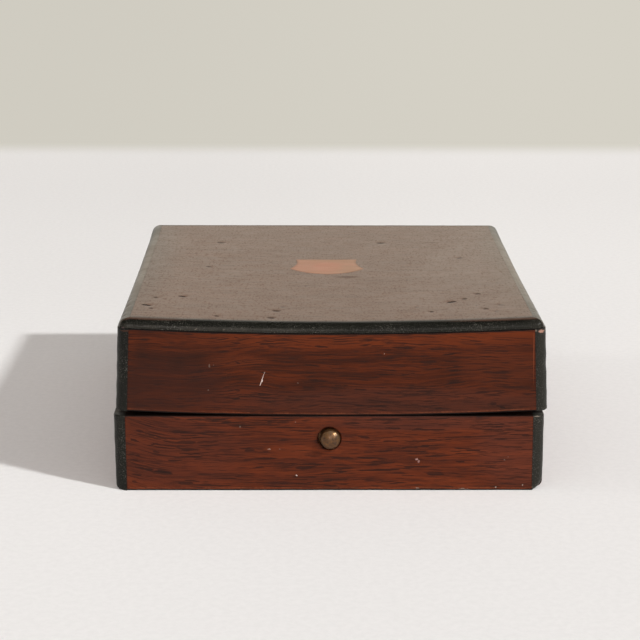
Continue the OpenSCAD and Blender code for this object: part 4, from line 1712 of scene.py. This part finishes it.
@dataclass
class LidBody:
    """The lid: four boards and a top, all sprung, with posts and a rounded strip of edging round its top."""

    front_spots: tuple[Spot, ...] = on_front(
        (-52.0, 35.0, 21.0, 13.0, linear(48, 26, 20), 0.56), (-48.4, 43.6, 4.2, 3.4, SOOT_AND_SHADE, 0.26, 0.1),
        (-42.2, 45.6, 4.0, 3.8, SOOT_AND_SHADE, 0.26, 0.1), (-43.0, 45.0, 15.0, 5.0, SOOT_AND_SHADE, 0.15),
        (-60.2, 48.5, 3.0, 6.5, SOOT_AND_SHADE, 0.3, 0.1), (-58.0, 45.0, 5.5, 4.5, SOOT_AND_SHADE, 0.2, 0.1),
        (-21.7, 37.5, 0.3, 0.55, PALE, 0.75), (-38.6, 42.4, 0.22, 0.7, DUSTY, 0.14),
        (-37.2, 42.6, 0.18, 0.3, DUSTY, 0.08), (-39.0, 34.2, 0.3, 0.22, DUSTY, 0.14),
        (17.5, 46.5, 0.22, 0.25, DUSTY, 0.55), (-10.2, 36.7, 0.25, 0.3, DUSTY, 0.14),
        (52.6, 29.4, 2.0, 0.6, SOOT_AND_SHADE, 0.35), (57.0, 28.6, 3.0, 1.2, SOOT_AND_SHADE, 0.3),
    )
    front_tints: tuple[Spot, ...] = on_front(
        (14.0, 52.4, 70.0, 5.0, linear(110, 48, 20), 0.55), (-30.0, 44.0, 11.0, 2.4, linear(98, 44, 21), 0.4),
        (55.0, 42.0, 15.0, 8.0, linear(86, 39, 20), 0.5), (24.0, 30.0, 58.0, 6.0, linear(74, 40, 30), 0.5),
        (-28.0, 31.0, 16.0, 5.0, linear(78, 37, 24), 0.4),
    )
    front_scores: tuple[Score, ...] = (
        Score((-20.8, -BOX.half_d, 40.5), (-22.4, -BOX.half_d, 35.7), 0.18, linear(204, 182, 172)),
        Score((65.8, -BOX.half_d, 36.0), (65.4, -BOX.half_d, 53.5), 0.2, linear(112, 56, 34)),
    )
    rubbed: dict[Side, float] = field(default_factory=lambda: {
        Side.FRONT: 0.0, Side.RIGHT: 0.55, Side.BACK: 0.1, Side.LEFT: 0.35})
    edging_spots: tuple[Spot, ...] = (
        *on_front(
            (67.9, 53.8, 1.2, 0.6, linear(170, 128, 112), 0.9),
            (69.4, 53.9, 0.8, 0.45, linear(120, 100, 80), 0.7),
            (65.8, 54.2, 0.45, 0.5, linear(130, 116, 104), 0.6),
            (64.6, 53.2, 0.7, 0.25, linear(140, 122, 112), 0.6),
            (-65.6, 53.9, 1.8, 0.28, linear(74, 46, 34), 0.6),
            (-66.0, 54.8, 0.5, 0.35, linear(110, 92, 92), 0.5), deep=2.5),
        *on_top((62.0, 3.2 - BOX.half_d, 26.0, 1.4, linear(98, 70, 56), 0.6),
                (-62.0, 3.2 - BOX.half_d, 18.0, 1.4, linear(98, 70, 56), 0.6), high=3.0),
        *on_front((-42.8, 54.5, 0.5, 0.22, DUSTY, 0.25), (-34.0, 54.3, 0.4, 0.22, DUSTY, 0.18), deep=2.5),
        PAINTED_CORNER_LIGHT,
    )
    # Brown over the side strips' inner part: a painted sheen that blends them into the top's painted sheen.
    painted_side_sheen: tuple[Spot, ...] = on_top(
        (-64.4, 0.0, 5.8, 110.0, linear(101, 83, 67), 0.95, 0.15),
        (66.4, 0.0, 5.6, 110.0, linear(111, 95, 80), 0.95, 0.15), high=3.4)
    top_tints: tuple[Spot, ...] = on_top(
        (-66.0, 0.0, 13.0, 120.0, linear(84, 68, 56), 0.75, 0.0),
        (70.0, 0.0, 60.0, 130.0, linear(119, 96, 81), 0.5, 0.0),
        (67.0, 0.0, 10.0, 120.0, linear(104, 92, 78), 0.45, 0.0), (7.6, -14.8, 5.2, 1.9, SOOT_AND_SHADE, 0.3, 0.1, 0.3),
        (42.1, 44.3, 2.2, 1.7, SOOT_AND_SHADE, 0.15, 0.1, 0.14), (45.9, 66.8, 3.0, 1.4, SOOT_AND_SHADE, 0.15, 0.1, 0.12),
    )
    top_dents: tuple[Dent, ...] = dents_on_top(
        (-40.9, 43.8, 1.5, 0.28), (-43.5, -0.2, 1.1, 0.22), (-50.1, -47.6, 1.1, 0.3),
        (-61.1, -61.6, 1.3, 0.34), (-59.2, -66.0, 0.8, 0.25), (-58.8, -50.8, 0.8, 0.2),
        (-19.7, -73.9, 1.2, 0.25), (-18.1, -64.5, 1.4, 0.22), (-16.2, -59.6, 0.9, 0.18),
        (-37.4, -73.2, 0.8, 0.22), (21.2, 44.1, 1.6, 0.26), (49.4, 14.7, 1.2, 0.24), (40.6, -53.9, 1.3, 0.34),
        (45.3, -50.3, 0.9, 0.25), (50.9, -65.0, 1.0, 0.2), (50.3, -43.7, 1.0, 0.2), (32.9, -66.8, 0.7, 0.22),
        (-33.0, 30.2, 0.9, 0.12), (28.5, -60.6, 0.6, 0.14), (-7.9, -28.6, 0.7, 0.12), (11.8, 67.4, 1.4, 0.15),
        (56.5, -60.6, 1.2, 0.16), (54.1, -69.1, 0.9, 0.16), (-55.5, -18.6, 0.7, 0.12),
    )
    edging_dents: tuple[Dent, ...] = tuple(Dent(*row) for row in (
        ((-69.0, -54.0, 55.0), 1.2, 0.35, (0.8, 0.0, -0.6)),
        ((-68.6, -62.0, 55.4), 1.0, 0.3, (0.6, 0.0, -0.8)),
        ((-69.2, -70.0, 54.8), 0.9, 0.3, (0.8, 0.0, -0.6)),
        ((-68.4, -75.5, 55.6), 0.8, 0.3, (0.5, 0.0, -0.8)),
        ((-67.5, -80.5, 55.2), 1.0, 0.3, (0.5, 0.5, -0.7)),
        ((68.0, -67.5, 55.8), 0.9, 0.25, (0.0, 0.0, -1.0)), ((67.6, -70.5, 55.9), 0.8, 0.2, (0.0, 0.0, -1.0)),
        ((68.3, -82.4, 53.3), 0.9, 0.35, (-0.4, 0.9, 0.0)),
        ((-58.0, -81.6, 55.2), 0.8, 0.2, (0.0, 0.7, -0.7)), ((-36.0, -82.3, 53.6), 0.7, 0.2, (0.0, 1.0, 0.0)),
        ((-33.0, -82.3, 53.9), 0.6, 0.16, (0.0, 1.0, 0.0)), ((9.0, -81.2, 55.6), 0.7, 0.2, (0.0, 0.5, -0.8)),
        ((69.4, -20.0, 54.6), 1.4, 0.25, (-0.8, 0.0, -0.6)),
        ((69.0, 22.0, 55.0), 1.0, 0.2, (-0.7, 0.0, -0.7)), ((20.0, 81.8, 55.2), 1.2, 0.25, (0.0, -0.7, -0.7)),
        ((-44.0, 82.2, 54.4), 1.0, 0.25, (0.0, -0.9, -0.4)),
    ))

    def section(self) -> Section:
        """The section of a lid board, whose inner part carries the top.

        Returns:
            The section, from its foot on the face.
        """
        return Section([
            Corner(0, BOX.base_h, 0.45, foot=True), Corner(0, BOX.under_edging_z, 0.16, joint=True),
            Corner(BOX.edging_w, BOX.under_edging_z), Corner(BOX.edging_w, BOX.under_top_z),
            Corner(BOX.board_t, BOX.under_top_z, 0, True),
            Corner(BOX.board_t, BOX.base_h, 0.3, True, rim=True), Corner(BOX.edging_w, BOX.base_h, rim=True),
        ])

    def board(self, side: Side, finish: Mahogany, seed: int) -> Piece:
        """Makes one board.

        Args:
            side: The side that it closes.
            finish: Its finish.
            seed: The seed of its unevenness.

        Returns:
            The object.
        """
        node = f"lid_{side.name.lower()}"
        piece = Board(f"worn_{node}", side, self.section(), BOX.sprung, seed).make(finish.make())
        return dress(piece, Body.LID, Slot.MAHOGANY, node)

    def build(self) -> None:
        """Makes the lid."""
        front = self.board(Side.FRONT, Mahogany(
            "lid_front_mahogany", Grain.SIDEWAYS_UPRIGHT, 1.6, dark=linear(53, 23, 12),
            middle=linear(68, 29, 13), light=linear(85, 36, 15), swirls=(
                Swirl((-40.0, 47.0), (15.0, 8.0), 2.0), Swirl((-26.0, 36.0), (7.0, 5.0), -0.8),
                Swirl((50.0, 38.0), (10.0, 4.0), -1.0)),
            dashes=LID_DASHES, tints=self.front_tints, spots=self.front_spots, scores=self.front_scores), 11)
        back = self.board(Side.BACK, Mahogany("lid_back_mahogany", Grain.SIDEWAYS_UPRIGHT, 7.2), 12)
        self.board(Side.LEFT, Mahogany("lid_left_mahogany", Grain.DEEP_UPRIGHT, 8.1), 13)
        self.board(Side.RIGHT, Mahogany("lid_right_mahogany", Grain.DEEP_UPRIGHT, 9.4), 14)
        Catch().let_in(front)
        Hinges().let_in(back, BOX.base_h - 1, BOX.base_h + Hinges.leaf_t)
        self.build_top()
        self.build_edging()

    def build_top(self) -> None:
        """Makes the top board and the shield."""
        # The top's tones are much paler than the fronts' mahogany: a painted sheen, for the backdrop that the
        # polished top reflects at a low view.
        finish = Mahogany("lid_top_mahogany", Grain.SIDEWAYS_FLAT, 12.5, polish=0.33, uneven=0.12, deep=0.012,
                          shine=0.6, grime=0.8, streaky=0.2, specks=0.15, dark=linear(99, 70, 52),
                          middle=linear(105, 74, 55), light=linear(111, 78, 58), tints=self.top_tints,
                          spots=tuple(dirt_in(d) for d in self.top_dents))
        shield = Shield()
        dress(TopBoard(dents=self.top_dents).make(shield, finish.make()), Body.LID, Slot.MAHOGANY, "lid_top")
        inlay = piece_of("worn_lid_shield", shield.skin(), ShieldWood().make(), 40)
        dress(inlay, Body.LID, Slot.INLAY, "lid_shield_inlay")

    def build_edging(self) -> None:
        """Makes the posts and the strips round the top."""
        upright = EbonisedWood("lid_post_ebony", Grain.UPRIGHT, 2.6, 0.3, spots=self.edging_spots).make()
        sideways = EbonisedWood("long_strip_ebony", Grain.SIDEWAYS_UPRIGHT, 3.9, 0.34, 0.08, 0.3, 0.9,
                                self.edging_spots, 0.24).make()
        left = EbonisedWood("left_strip_ebony", Grain.DEEP_UPRIGHT, 5.2, 0.34, 0.44, 0.33, 1.0,
                            self.painted_side_sheen).make()
        right = EbonisedWood("right_strip_ebony", Grain.DEEP_UPRIGHT, 6.7, 0.34, 0.5, 0.33, 1.0,
                             self.painted_side_sheen).make()
        strips = {Side.FRONT: sideways, Side.RIGHT: right, Side.BACK: sideways, Side.LEFT: left}
        for index, (right, behind) in enumerate(BaseBody().rubbed_feet):
            node = f"lid_edging_{corner_name(right, behind)}"
            post = Post(f"worn_{node}", right, behind, BOX.base_h, BOX.under_edging_z, BOX.sprung, 41 + index,
                        foot=0.25, head=0.12)
            dress(post.make(upright), Body.LID, Slot.EBONISED, node)
        for index, side in enumerate(Side):
            node = f"top_edging_{side.name.lower()}"
            edging = TopEdging(f"worn_{node}", side, 51 + index, dents=self.edging_dents,
                               rubbed=self.rubbed[side])
            dress(edging.make(strips[side]), Body.LID, Slot.EBONISED, node)


@dataclass
class SlottedScrew:
    """A countersunk brass screw, its face at the origin and its point below."""

    head_r: float
    shank_r: float
    length: float
    slot_w: float = 0.3
    slot_d: float = 0.32

    def skin(self, place: Matrix) -> Skin:
        """Turns the screw, without its slot.

        Args:
            place: Where its face lies, with its axis along z.

        Returns:
            The skin.
        """
        cone = self.head_r - self.shank_r
        profile = [(0, 0.03), (self.head_r * 0.7, 0.015), (self.head_r - 0.05, -0.02), (self.head_r, -0.07),
                   (self.shank_r, -cone), (self.shank_r, -self.length + 1.2), (0, -self.length)]
        skin = turned(profile, place, 40)
        skin.arris[:] = 0.5
        return skin

    def slot(self, place: Matrix, turn: float) -> Piece:
        """The tool that cuts its slot.

        Args:
            place: Where its face lies.
            turn: The slot's turn about the axis, in radians.

        Returns:
            The tool.
        """
        reach = self.head_r + 0.3
        skin = block((-reach, -self.slot_w / 2, -self.slot_d), (reach, self.slot_w / 2, 1.0))
        turned_place = place @ Matrix.Rotation(turn, 4, "Z")
        skin.points = skin.points @ np.array(turned_place.to_3x3()).T + np.array(turned_place.translation)
        return piece_of("slot", skin)

    def group(self, name: str, places: Sequence[Matrix], seed: int, material: Material) -> Piece:
        """Makes several screws as one piece.

        Args:
            name: The piece's name.
            places: Where their faces lie.
            seed: The seed of their turns.
            material: Their finish.

        Returns:
            The object.
        """
        draw = np.random.default_rng(seed)
        piece = piece_of(name, joined([self.skin(place) for place in places]), material, 35)
        for place in places:
            carve(piece, [self.slot(place, draw.uniform(0, math.pi))])
        return piece


@dataclass
class Hinges:
    """Two brass butt hinges let into the back's rims."""

    x: float = 42.0
    length: float = 20.0
    leaf_w: float = 5.2
    leaf_t: float = 0.8
    knuckle_r: float = 1.8
    barrel_gap: float = 0.1
    lid_knuckle: float = 6.4
    knuckle_gap: float = 0.15
    knuckle_chamfer: float = 0.15
    pin_r: float = 0.8
    screw_x: float = 6.0
    screw: SlottedScrew = field(default_factory=lambda: SlottedScrew(1.2, 0.6, 7.0))

    def let_in(self, back: Piece, low: float, high: float) -> None:
        """Cuts the leaves' recesses into a back board.

        Args:
            back: The board.
            low: The height at which they start.
            high: The height at which they end.
        """
        for x in (-self.x, self.x):
            recess = block((x - self.length / 2, BOX.half_d - self.leaf_w, low),
                           (x + self.length / 2, BOX.half_d + 1, high))
            carve(back, [piece_of("recess", recess)])

    def screw_place(self, x: float, lower: bool) -> Matrix:
        """Where a hinge screw's face lies."""
        turn = Matrix.Identity(4) if lower else Matrix.Rotation(math.pi, 4, "X")
        return Matrix.Translation((x, BOX.half_d - self.leaf_w / 2, BOX.base_h)) @ turn

    def leaf(self, name: str, x: float, lower: bool, material: Material) -> Piece:
        """Makes a leaf with its knuckles, bored for the pin and sunk for its screws.

        Args:
            name: The piece's name.
            x: The hinge's middle.
            lower: Whether it is the base's leaf.
            material: Its finish.

        Returns:
            The object.
        """
        half, middle = self.length / 2, self.lid_knuckle / 2
        hinge_y = BOX.half_d + self.barrel_gap + self.knuckle_r
        low = BOX.base_h - (self.leaf_t if lower else 0)
        outer = middle + self.knuckle_gap
        spans = [(-half, -outer), (outer, half)] if lower else [(-middle, middle)]
        front = BOX.half_d - self.leaf_w
        plate = block((x - half, front, low), (x + half, BOX.half_d, low + self.leaf_t), 0.1)
        piece = piece_of(name, plate, material)
        joins, cuts = [], []
        for start, end in spans:
            r, c = self.knuckle_r, self.knuckle_chamfer
            profile = [(0, start), (r - c, start), (r, start + c), (r, end - c), (r - c, end), (0, end)]
            place = Matrix.Translation((x, hinge_y, BOX.base_h)) @ Matrix.Rotation(math.pi / 2, 4, "Y")
            joins.append(piece_of("knuckle", turned(profile, place)))
            arm = block((x + start + 0.05, front + 1, low),
                        (x + end - 0.05, hinge_y, low + self.leaf_t), 0.05)
            joins.append(piece_of("arm", arm))
        carve(piece, joins, operation="UNION")
        bore = [(0, -self.length), (self.pin_r, -self.length), (self.pin_r, self.length), (0, self.length)]
        cuts.append(piece_of("pin_bore", turned(bore, place, 48)))
        for side in (-1, 1):
            at = self.screw_place(x + side * self.screw_x, lower)
            sink = [(0, 0.5), (1.73, 0.5), (0.65, -0.58), (0.65, -2), (0, -2)]
            cuts.append(piece_of("sink", turned(sink, at, 40)))
        carve(piece, cuts, 35)
        return piece

    def build(self) -> None:
        """Makes the hinges."""
        brass = AgedBrass("hinge_brass", tarnish=0.6).make()
        steel = OldSteel().make()
        for title, x in (("left", -self.x), ("right", self.x)):
            for body, word in ((Body.BASE, "base"), (Body.LID, "lid")):
                node = f"{title}_hinge_{word}_leaf"
                dress(self.leaf(f"worn_{node}", x, body is Body.BASE, brass), body, Slot.BRASS, node)
            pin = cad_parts[f"{title}_hinge_pin"]
            pin.data.materials.clear()
            pin.data.materials.append(steel)
        for body, lower in ((Body.BASE, True), (Body.LID, False)):
            node = f"hinge_{body.value}_screws"
            places = [self.screw_place(x + side * self.screw_x, lower)
                      for x in (-self.x, self.x) for side in (-1, 1)]
            screws = self.screw.group(f"slotted_{node}", places, 61 + lower, brass)
            dress(screws, body, Slot.BRASS, node)


@dataclass
class Catch:
    """The push button, the spring that it bends and the keeper in the lid."""

    button_z: float = 17.8
    button_r: float = 3.2
    button_out: float = 3.0
    button_round: float = 0.27
    button_dome: float = 1.7
    button_aside: float = 0.36
    collar_off: float = 3.2
    collar_r: float = 4.2
    collar_t: float = 1.2
    tail_r: float = 1.6
    spring_w: float = 10.0
    spring_t: float = 0.8
    spring_low: float = 5.2
    spring_high: float = 32.1
    nib_z: float = 30.3
    nib_reach: float = 1.5
    nib_w: float = 7.0
    fixed_z: float = 8.5
    keeper_w: float = 17.0
    keeper_low: float = 26.9
    keeper_high: float = 35.5
    keeper_t: float = 1.0
    clear: float = 0.3
    spring_screws: tuple[float, float] = (3.2, 7.0)
    keeper_screws: tuple[float, float] = (6.7, 31.2)
    screw: SlottedScrew = field(default_factory=lambda: SlottedScrew(1.4, 0.7, 4.0))

    @property
    def keeper_y(self) -> float:
        """The inner face of the keeper plate."""
        return BOX.inner_front_y - self.clear

    def window(self, low_y: float, high_y: float) -> Skin:
        """The block that opens the nib's window."""
        half = self.nib_w / 2 + self.clear
        return block((-half, low_y, self.nib_z - self.clear), (half, high_y, self.spring_high + self.clear))

    def let_in(self, lid_front: Piece) -> None:
        """Cuts the keeper's recess into the lid's front.

        Args:
            lid_front: The board.
        """
        half = self.keeper_w / 2
        plate = block((-half, self.keeper_y - self.keeper_t, BOX.base_h - 1),
                      (half, self.keeper_y + 1.3, self.keeper_high))
        carve(lid_front, [piece_of("keeper_recess", plate)])
        carve(lid_front, [piece_of("nib_pocket", self.window(self.keeper_y - 1.8, self.keeper_y + 1))], 40)

    def screw_places(self, at: tuple[float, float], y: float) -> list[Matrix]:
        """Where the faces of a pair of catch screws lie, by how far aside and how high they are."""
        turn = Matrix.Rotation(-math.pi / 2, 4, "X")
        return [Matrix.Translation((side * at[0], y, at[1])) @ turn for side in (-1, 1)]

    def button(self) -> Skin:
        """Turns the button: a domed head with a rounded shoulder, its stem, collar and tail.

        Returns:
            The skin.
        """
        dome_r, face = self.button_r - self.button_round, -self.button_out
        fall = face + self.button_dome * (dome_r / self.button_r) ** 2
        dome = [(dome_r * s, face + (fall - face) * s**2) for s in np.linspace(0, 1, 15)]
        tilt = math.atan(2 * self.button_dome * dome_r / self.button_r**2)
        shoulder = self.button_round / (1 - math.sin(tilt))
        head = [(dome_r + shoulder * (math.sin(t) - math.sin(tilt)),
                 fall + shoulder * (math.cos(tilt) - math.cos(t)))
                for t in np.linspace(tilt, math.pi / 2, 9)[1:]]
        collar = self.collar_off
        body = [(self.button_r, collar), (self.collar_r, collar), (self.collar_r, collar + self.collar_t),
                (self.tail_r, collar + self.collar_t), (self.tail_r, BOX.board_t), (0, BOX.board_t)]
        skin = turned(dome + head + body, about_button(self.button_z), 96)
        away = np.hypot(skin.points[:, 0], skin.points[:, 2] - self.button_z)
        skin.arris = np.exp(-(((away - self.button_r + 0.3) / 0.4) ** 2))
        skin.arris *= skin.points[:, 1] < -BOX.half_d - 1
        aside = np.array([self.button_aside, 0.0, 0.0])
        return skin.rippled(0.012, 2.4, 81).moved(lambda points: points + aside)

    def spring(self) -> Skin:
        """Bends up the spring: a strip with a nib at its top.

        Returns:
            The skin.
        """
        half, nib = self.spring_w / 2, self.nib_w / 2
        back, front = BOX.inner_front_y + self.spring_t, BOX.inner_front_y
        levels = np.linspace(self.spring_low, self.spring_high, 56)
        rings = []
        for z in levels:
            worn = min(0.6, (z - self.spring_low) * 1.5, (self.spring_high - z) * 1.5)
            wide = half - 0.6 + worn
            ring = [(-wide, front + 0.1), (-wide + 0.1, front), (wide - 0.1, front), (wide, front + 0.1),
                    (wide, back - 0.1), (wide - 0.1, back), (-wide + 0.1, back), (-wide, back - 0.1)]
            rings.append([(x, y, z) for x, y in ring])
        strip = skin_of_rings(np.array(rings), 0.4)
        tip, top = front - self.nib_reach, self.spring_high - 0.05
        profile = [(front + 0.2, self.nib_z), (tip + 0.2, self.nib_z), (tip + 0.02, self.nib_z + 0.12),
                   (tip + 0.12, self.nib_z + 0.3), (front, top), (front + 0.2, top)]
        sides = [[(x, y, z) for y, z in profile] for x in np.linspace(-nib, nib, 9)]
        tooth = skin_of_rings(np.array(sides), 0.6)
        return joined([strip, tooth])

    def build(self) -> None:
        """Makes the catch."""
        worn = AgedBrass("button_brass", linear(134, 94, 54), linear(52, 30, 13), 0.64, linear(88, 76, 61),
                         0.05, 0.27, 0.13).make()
        brass = AgedBrass("catch_brass", tarnish=0.5).make()
        dress(piece_of("worn_push_button", self.button(), worn, 60), Body.BUTTON, Slot.BRASS, "push_button")
        spring = piece_of("worn_catch_spring", self.spring(), brass, 35)
        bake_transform(spring)
        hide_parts("catch_spring")
        places = self.screw_places(self.spring_screws, BOX.inner_front_y + self.spring_t)
        screws = self.screw.group("slotted_spring_screws", places, 63, brass)
        dress(screws, Body.BASE, Slot.BRASS, "catch_spring_screws")
        half = self.keeper_w / 2
        plate = block((-half, self.keeper_y - self.keeper_t, self.keeper_low),
                      (half, self.keeper_y, self.keeper_high), 0.12)
        plate = piece_of("worn_keeper_plate", plate, brass)
        carve(plate, [piece_of("keeper_window", self.window(self.keeper_y - 2, self.keeper_y + 2))])
        places = self.screw_places(self.keeper_screws, self.keeper_y)
        sink = [(0, 0.5), (1.95, 0.5), (0.75, -0.68), (0.75, -2), (0, -2)]
        carve(plate, [piece_of("sink", turned(sink, place, 40)) for place in places])
        dress(plate, Body.LID, Slot.BRASS, "keeper_plate")
        screws = self.screw.group("slotted_keeper_screws", places, 64, brass)
        dress(screws, Body.LID, Slot.BRASS, "keeper_screws")


@dataclass(frozen=True)
class Lamp:
    """A far, soft light: the way to it, its strength, its size in degrees and its colour."""

    name: str
    way: Point
    strength: float
    size: float
    colour: Point


@dataclass
class Studio:
    """The pale table that runs up into a backdrop, the soft light and the camera."""

    table: Colour = linear(235, 233, 232)
    backdrop: Colour = linear(212, 208, 197)
    # Where the backdrop glows brighter higher up: a painted light for the polished top to reflect.
    upper_backdrop_glow: Colour = (1.0, 0.955, 0.82, 1.0)
    table_end: tuple[float, float] = (0.607, 0.676)
    wall_y: float = 1.5
    wall_top: float = 0.75
    cove: float = 0.12
    reach: float = 3.0
    lamps: tuple[Lamp, ...] = (
        Lamp("key_light", (0.679, -0.400, 0.616), 2.39, 4.0, (0.98, 1.0, 1.0)),
        Lamp("low_front_light", (-0.04, -0.898, 0.438), 0.86, 15.0, (1.0, 0.955, 0.92)),
        Lamp("high_front_light", (-0.04, -0.529, 0.848), 0.74, 70.0, (1.0, 0.955, 0.92)),
        Lamp("fill_light", (-0.82, 0.0, 0.57), 0.21, 10.0, (1.0, 0.97, 0.94)),
    )
    warm: Colour = (1.05, 0.995, 0.965, 1.0)
    room_high: float = 0.11
    room_front: float = 0.17
    room_low: float = 0.57
    camera_at: Point = (-0.010109, -0.622428, 0.196293)
    yaw: float = 0.012898
    pitch: float = 0.25145
    roll: float = -0.003904
    lens: float = 98.30

    def build(self) -> None:
        """Makes the stage, the lights and the camera."""
        self.build_sweep()
        self.build_world()
        for lamp in self.lamps:
            self.hang(lamp)
        self.build_camera()

    def build_sweep(self) -> None:
        """Makes the table and the backdrop as one sheet."""
        turns = np.linspace(0, math.pi / 2, 12)
        foot = self.wall_y - self.cove
        profile = [(y, 0.0) for y in (-self.reach, -1.0, 0.0, 1.0)]
        profile += [(foot + self.cove * math.sin(t), self.cove * (1 - math.cos(t))) for t in turns]
        profile += [(self.wall_y, self.wall_top)]
        points = [(x, y, z) for x in (-self.reach, self.reach) for y, z in profile]
        count = len(profile)
        faces = [(i, i + count, i + count + 1, i + 1) for i in range(count - 1)]
        mesh = bpy.data.meshes.new("studio_sweep")
        mesh.from_pydata(points, [], faces)
        mesh.shade_smooth()
        sweep = bpy.data.objects.new("studio_sweep", mesh)
        bpy.context.scene.collection.objects.link(sweep)
        mesh.materials.append(self.sweep_material())

    def sweep_material(self) -> Material:
        """The table's paper, painted darker towards the back and the left as painted shade, which turns into
        the backdrop's tone behind the box.

        Returns:
            The material.
        """
        finish = Finish("studio_paper")
        g = finish.graph
        mottle = g.noise(finish.place, 2.2, 4.0, 0.7)
        paper = g.blend(g.span(mottle, 0.3, 0.7), self.shaded(self.table, 0.975),
                        self.shaded(self.table, 1.02))
        parts = g.parts(finish.place)
        # Painted shade: the paper is painted darker towards the back, more so on the left.
        fall = g.times(g.span(parts[1], 0.0, 250.0), g.span(parts[0], -120.0, 120.0, 0.08, 0.03))
        fall = g.plus(fall, g.span(parts[1], 220.0, 520.0, 0.0, 0.045))
        finish.feed("Base Color", g.blend(fall, paper, (0.0, 0.0, 0.0, 1.0)))
        finish.feed("Roughness", 0.9)
        finish.feed("Specular IOR Level", 0.0)
        finish.relief(mottle, 0.02)
        path = g.add("LightPath").outputs
        seen = g.most(g.most(path["Is Camera Ray"], path["Is Glossy Ray"]), path["Is Transmission Ray"])
        side = g.span(parts[0], -300.0, 260.0)
        # Painted shade across the backdrop, darker on the left; higher up it glows, a painted light for
        # reflections.
        tone = g.blend(side, self.shaded(self.backdrop, 0.955), self.shaded(self.backdrop, 1.01))
        tone = g.blend(g.span(parts[2], 90.0, 260.0), tone, self.upper_backdrop_glow)
        glow = g.add("Emission", {"Color": tone, "Strength": 1.0}).outputs[0]
        dull = g.add("BsdfDiffuse", {"Color": self.backdrop}).outputs[0]
        wall = g.add("MixShader", {0: seen, 1: dull, 2: glow}).outputs[0]
        far = g.span(parts[1], self.table_end[0] / MM, self.table_end[1] / MM)
        both = g.add("MixShader", {0: far, 1: finish.shader.outputs[0], 2: wall}).outputs[0]
        g.fill(finish.material.node_tree.nodes["Material Output"], {"Surface": both})
        return finish.material

    def build_world(self) -> None:
        """Lights the room faintly: dark above and behind, a little lighter in front, pale low down."""
        world = bpy.data.worlds.new("soft_room")
        world.use_nodes = True
        bpy.context.scene.world = world
        g = Graph(world.node_tree)
        way = g.parts(g.add("TexCoord").outputs["Generated"])
        ahead = g.span(way[1], -0.75, -0.35, 1.0, 0.0)
        high = g.blend(ahead, self.shaded(self.warm, self.room_high), self.shaded(self.warm, self.room_front))
        room = g.blend(g.span(way[2], 0.34, 0.52), self.shaded(self.warm, self.room_low), high)
        ground = world.node_tree.nodes["Background"]
        g.fill(ground, {"Color": room})
        plain = g.add("Background", {"Color": self.backdrop, "Strength": 1.0}).outputs[0]
        path = g.add("LightPath").outputs
        mixed = g.add("MixShader", {0: path["Is Camera Ray"], 1: ground.outputs[0], 2: plain}).outputs[0]
        g.fill(world.node_tree.nodes["World Output"], {"Surface": mixed})

    @staticmethod
    def shaded(colour: Colour, level: float) -> Colour:
        """A colour made darker or lighter."""
        return (*(min(1.0, c * level) for c in colour[:3]), 1.0)

    @staticmethod
    def hang(lamp: Lamp) -> None:
        """Hangs one lamp.

        Args:
            lamp: The lamp.
        """
        light = bpy.data.lights.new(lamp.name, "SUN")
        light.energy = lamp.strength
        light.angle = math.radians(lamp.size)
        light.color = lamp.colour
        hung = bpy.data.objects.new(lamp.name, light)
        hung.rotation_euler = (-Vector(lamp.way)).to_track_quat("-Z", "Y").to_euler()
        bpy.context.scene.collection.objects.link(hung)

    def build_camera(self) -> None:
        """Sets up the camera at the photograph's angle."""
        ahead = Vector((math.sin(self.yaw) * math.cos(self.pitch), math.cos(self.yaw) * math.cos(self.pitch),
                        -math.sin(self.pitch)))
        right = Vector((math.cos(self.yaw), -math.sin(self.yaw), 0.0))
        down = ahead.cross(right)
        c, s = math.cos(self.roll), math.sin(self.roll)
        across, up = c * right + s * down, s * right - c * down
        data = bpy.data.cameras.new("camera")
        data.lens, data.sensor_width = self.lens, 36.0
        camera = bpy.data.objects.new("camera", data)
        turn = Matrix((across, up, -ahead)).transposed().to_4x4()
        camera.matrix_world = Matrix.Translation(self.camera_at) @ turn
        bpy.context.scene.collection.objects.link(camera)
        scene = bpy.context.scene
        scene.camera = camera
        scene.view_settings.view_transform = "Standard"


def main() -> None:
    """Builds the box, its stage, lights and camera."""
    logging.basicConfig(level=logging.INFO, format="%(name)s: %(message)s")
    for part in (BaseBody(), LidBody(), Hinges(), Catch()):
        part.build()
    Studio().build()


if __name__ == "__main__":
    main()
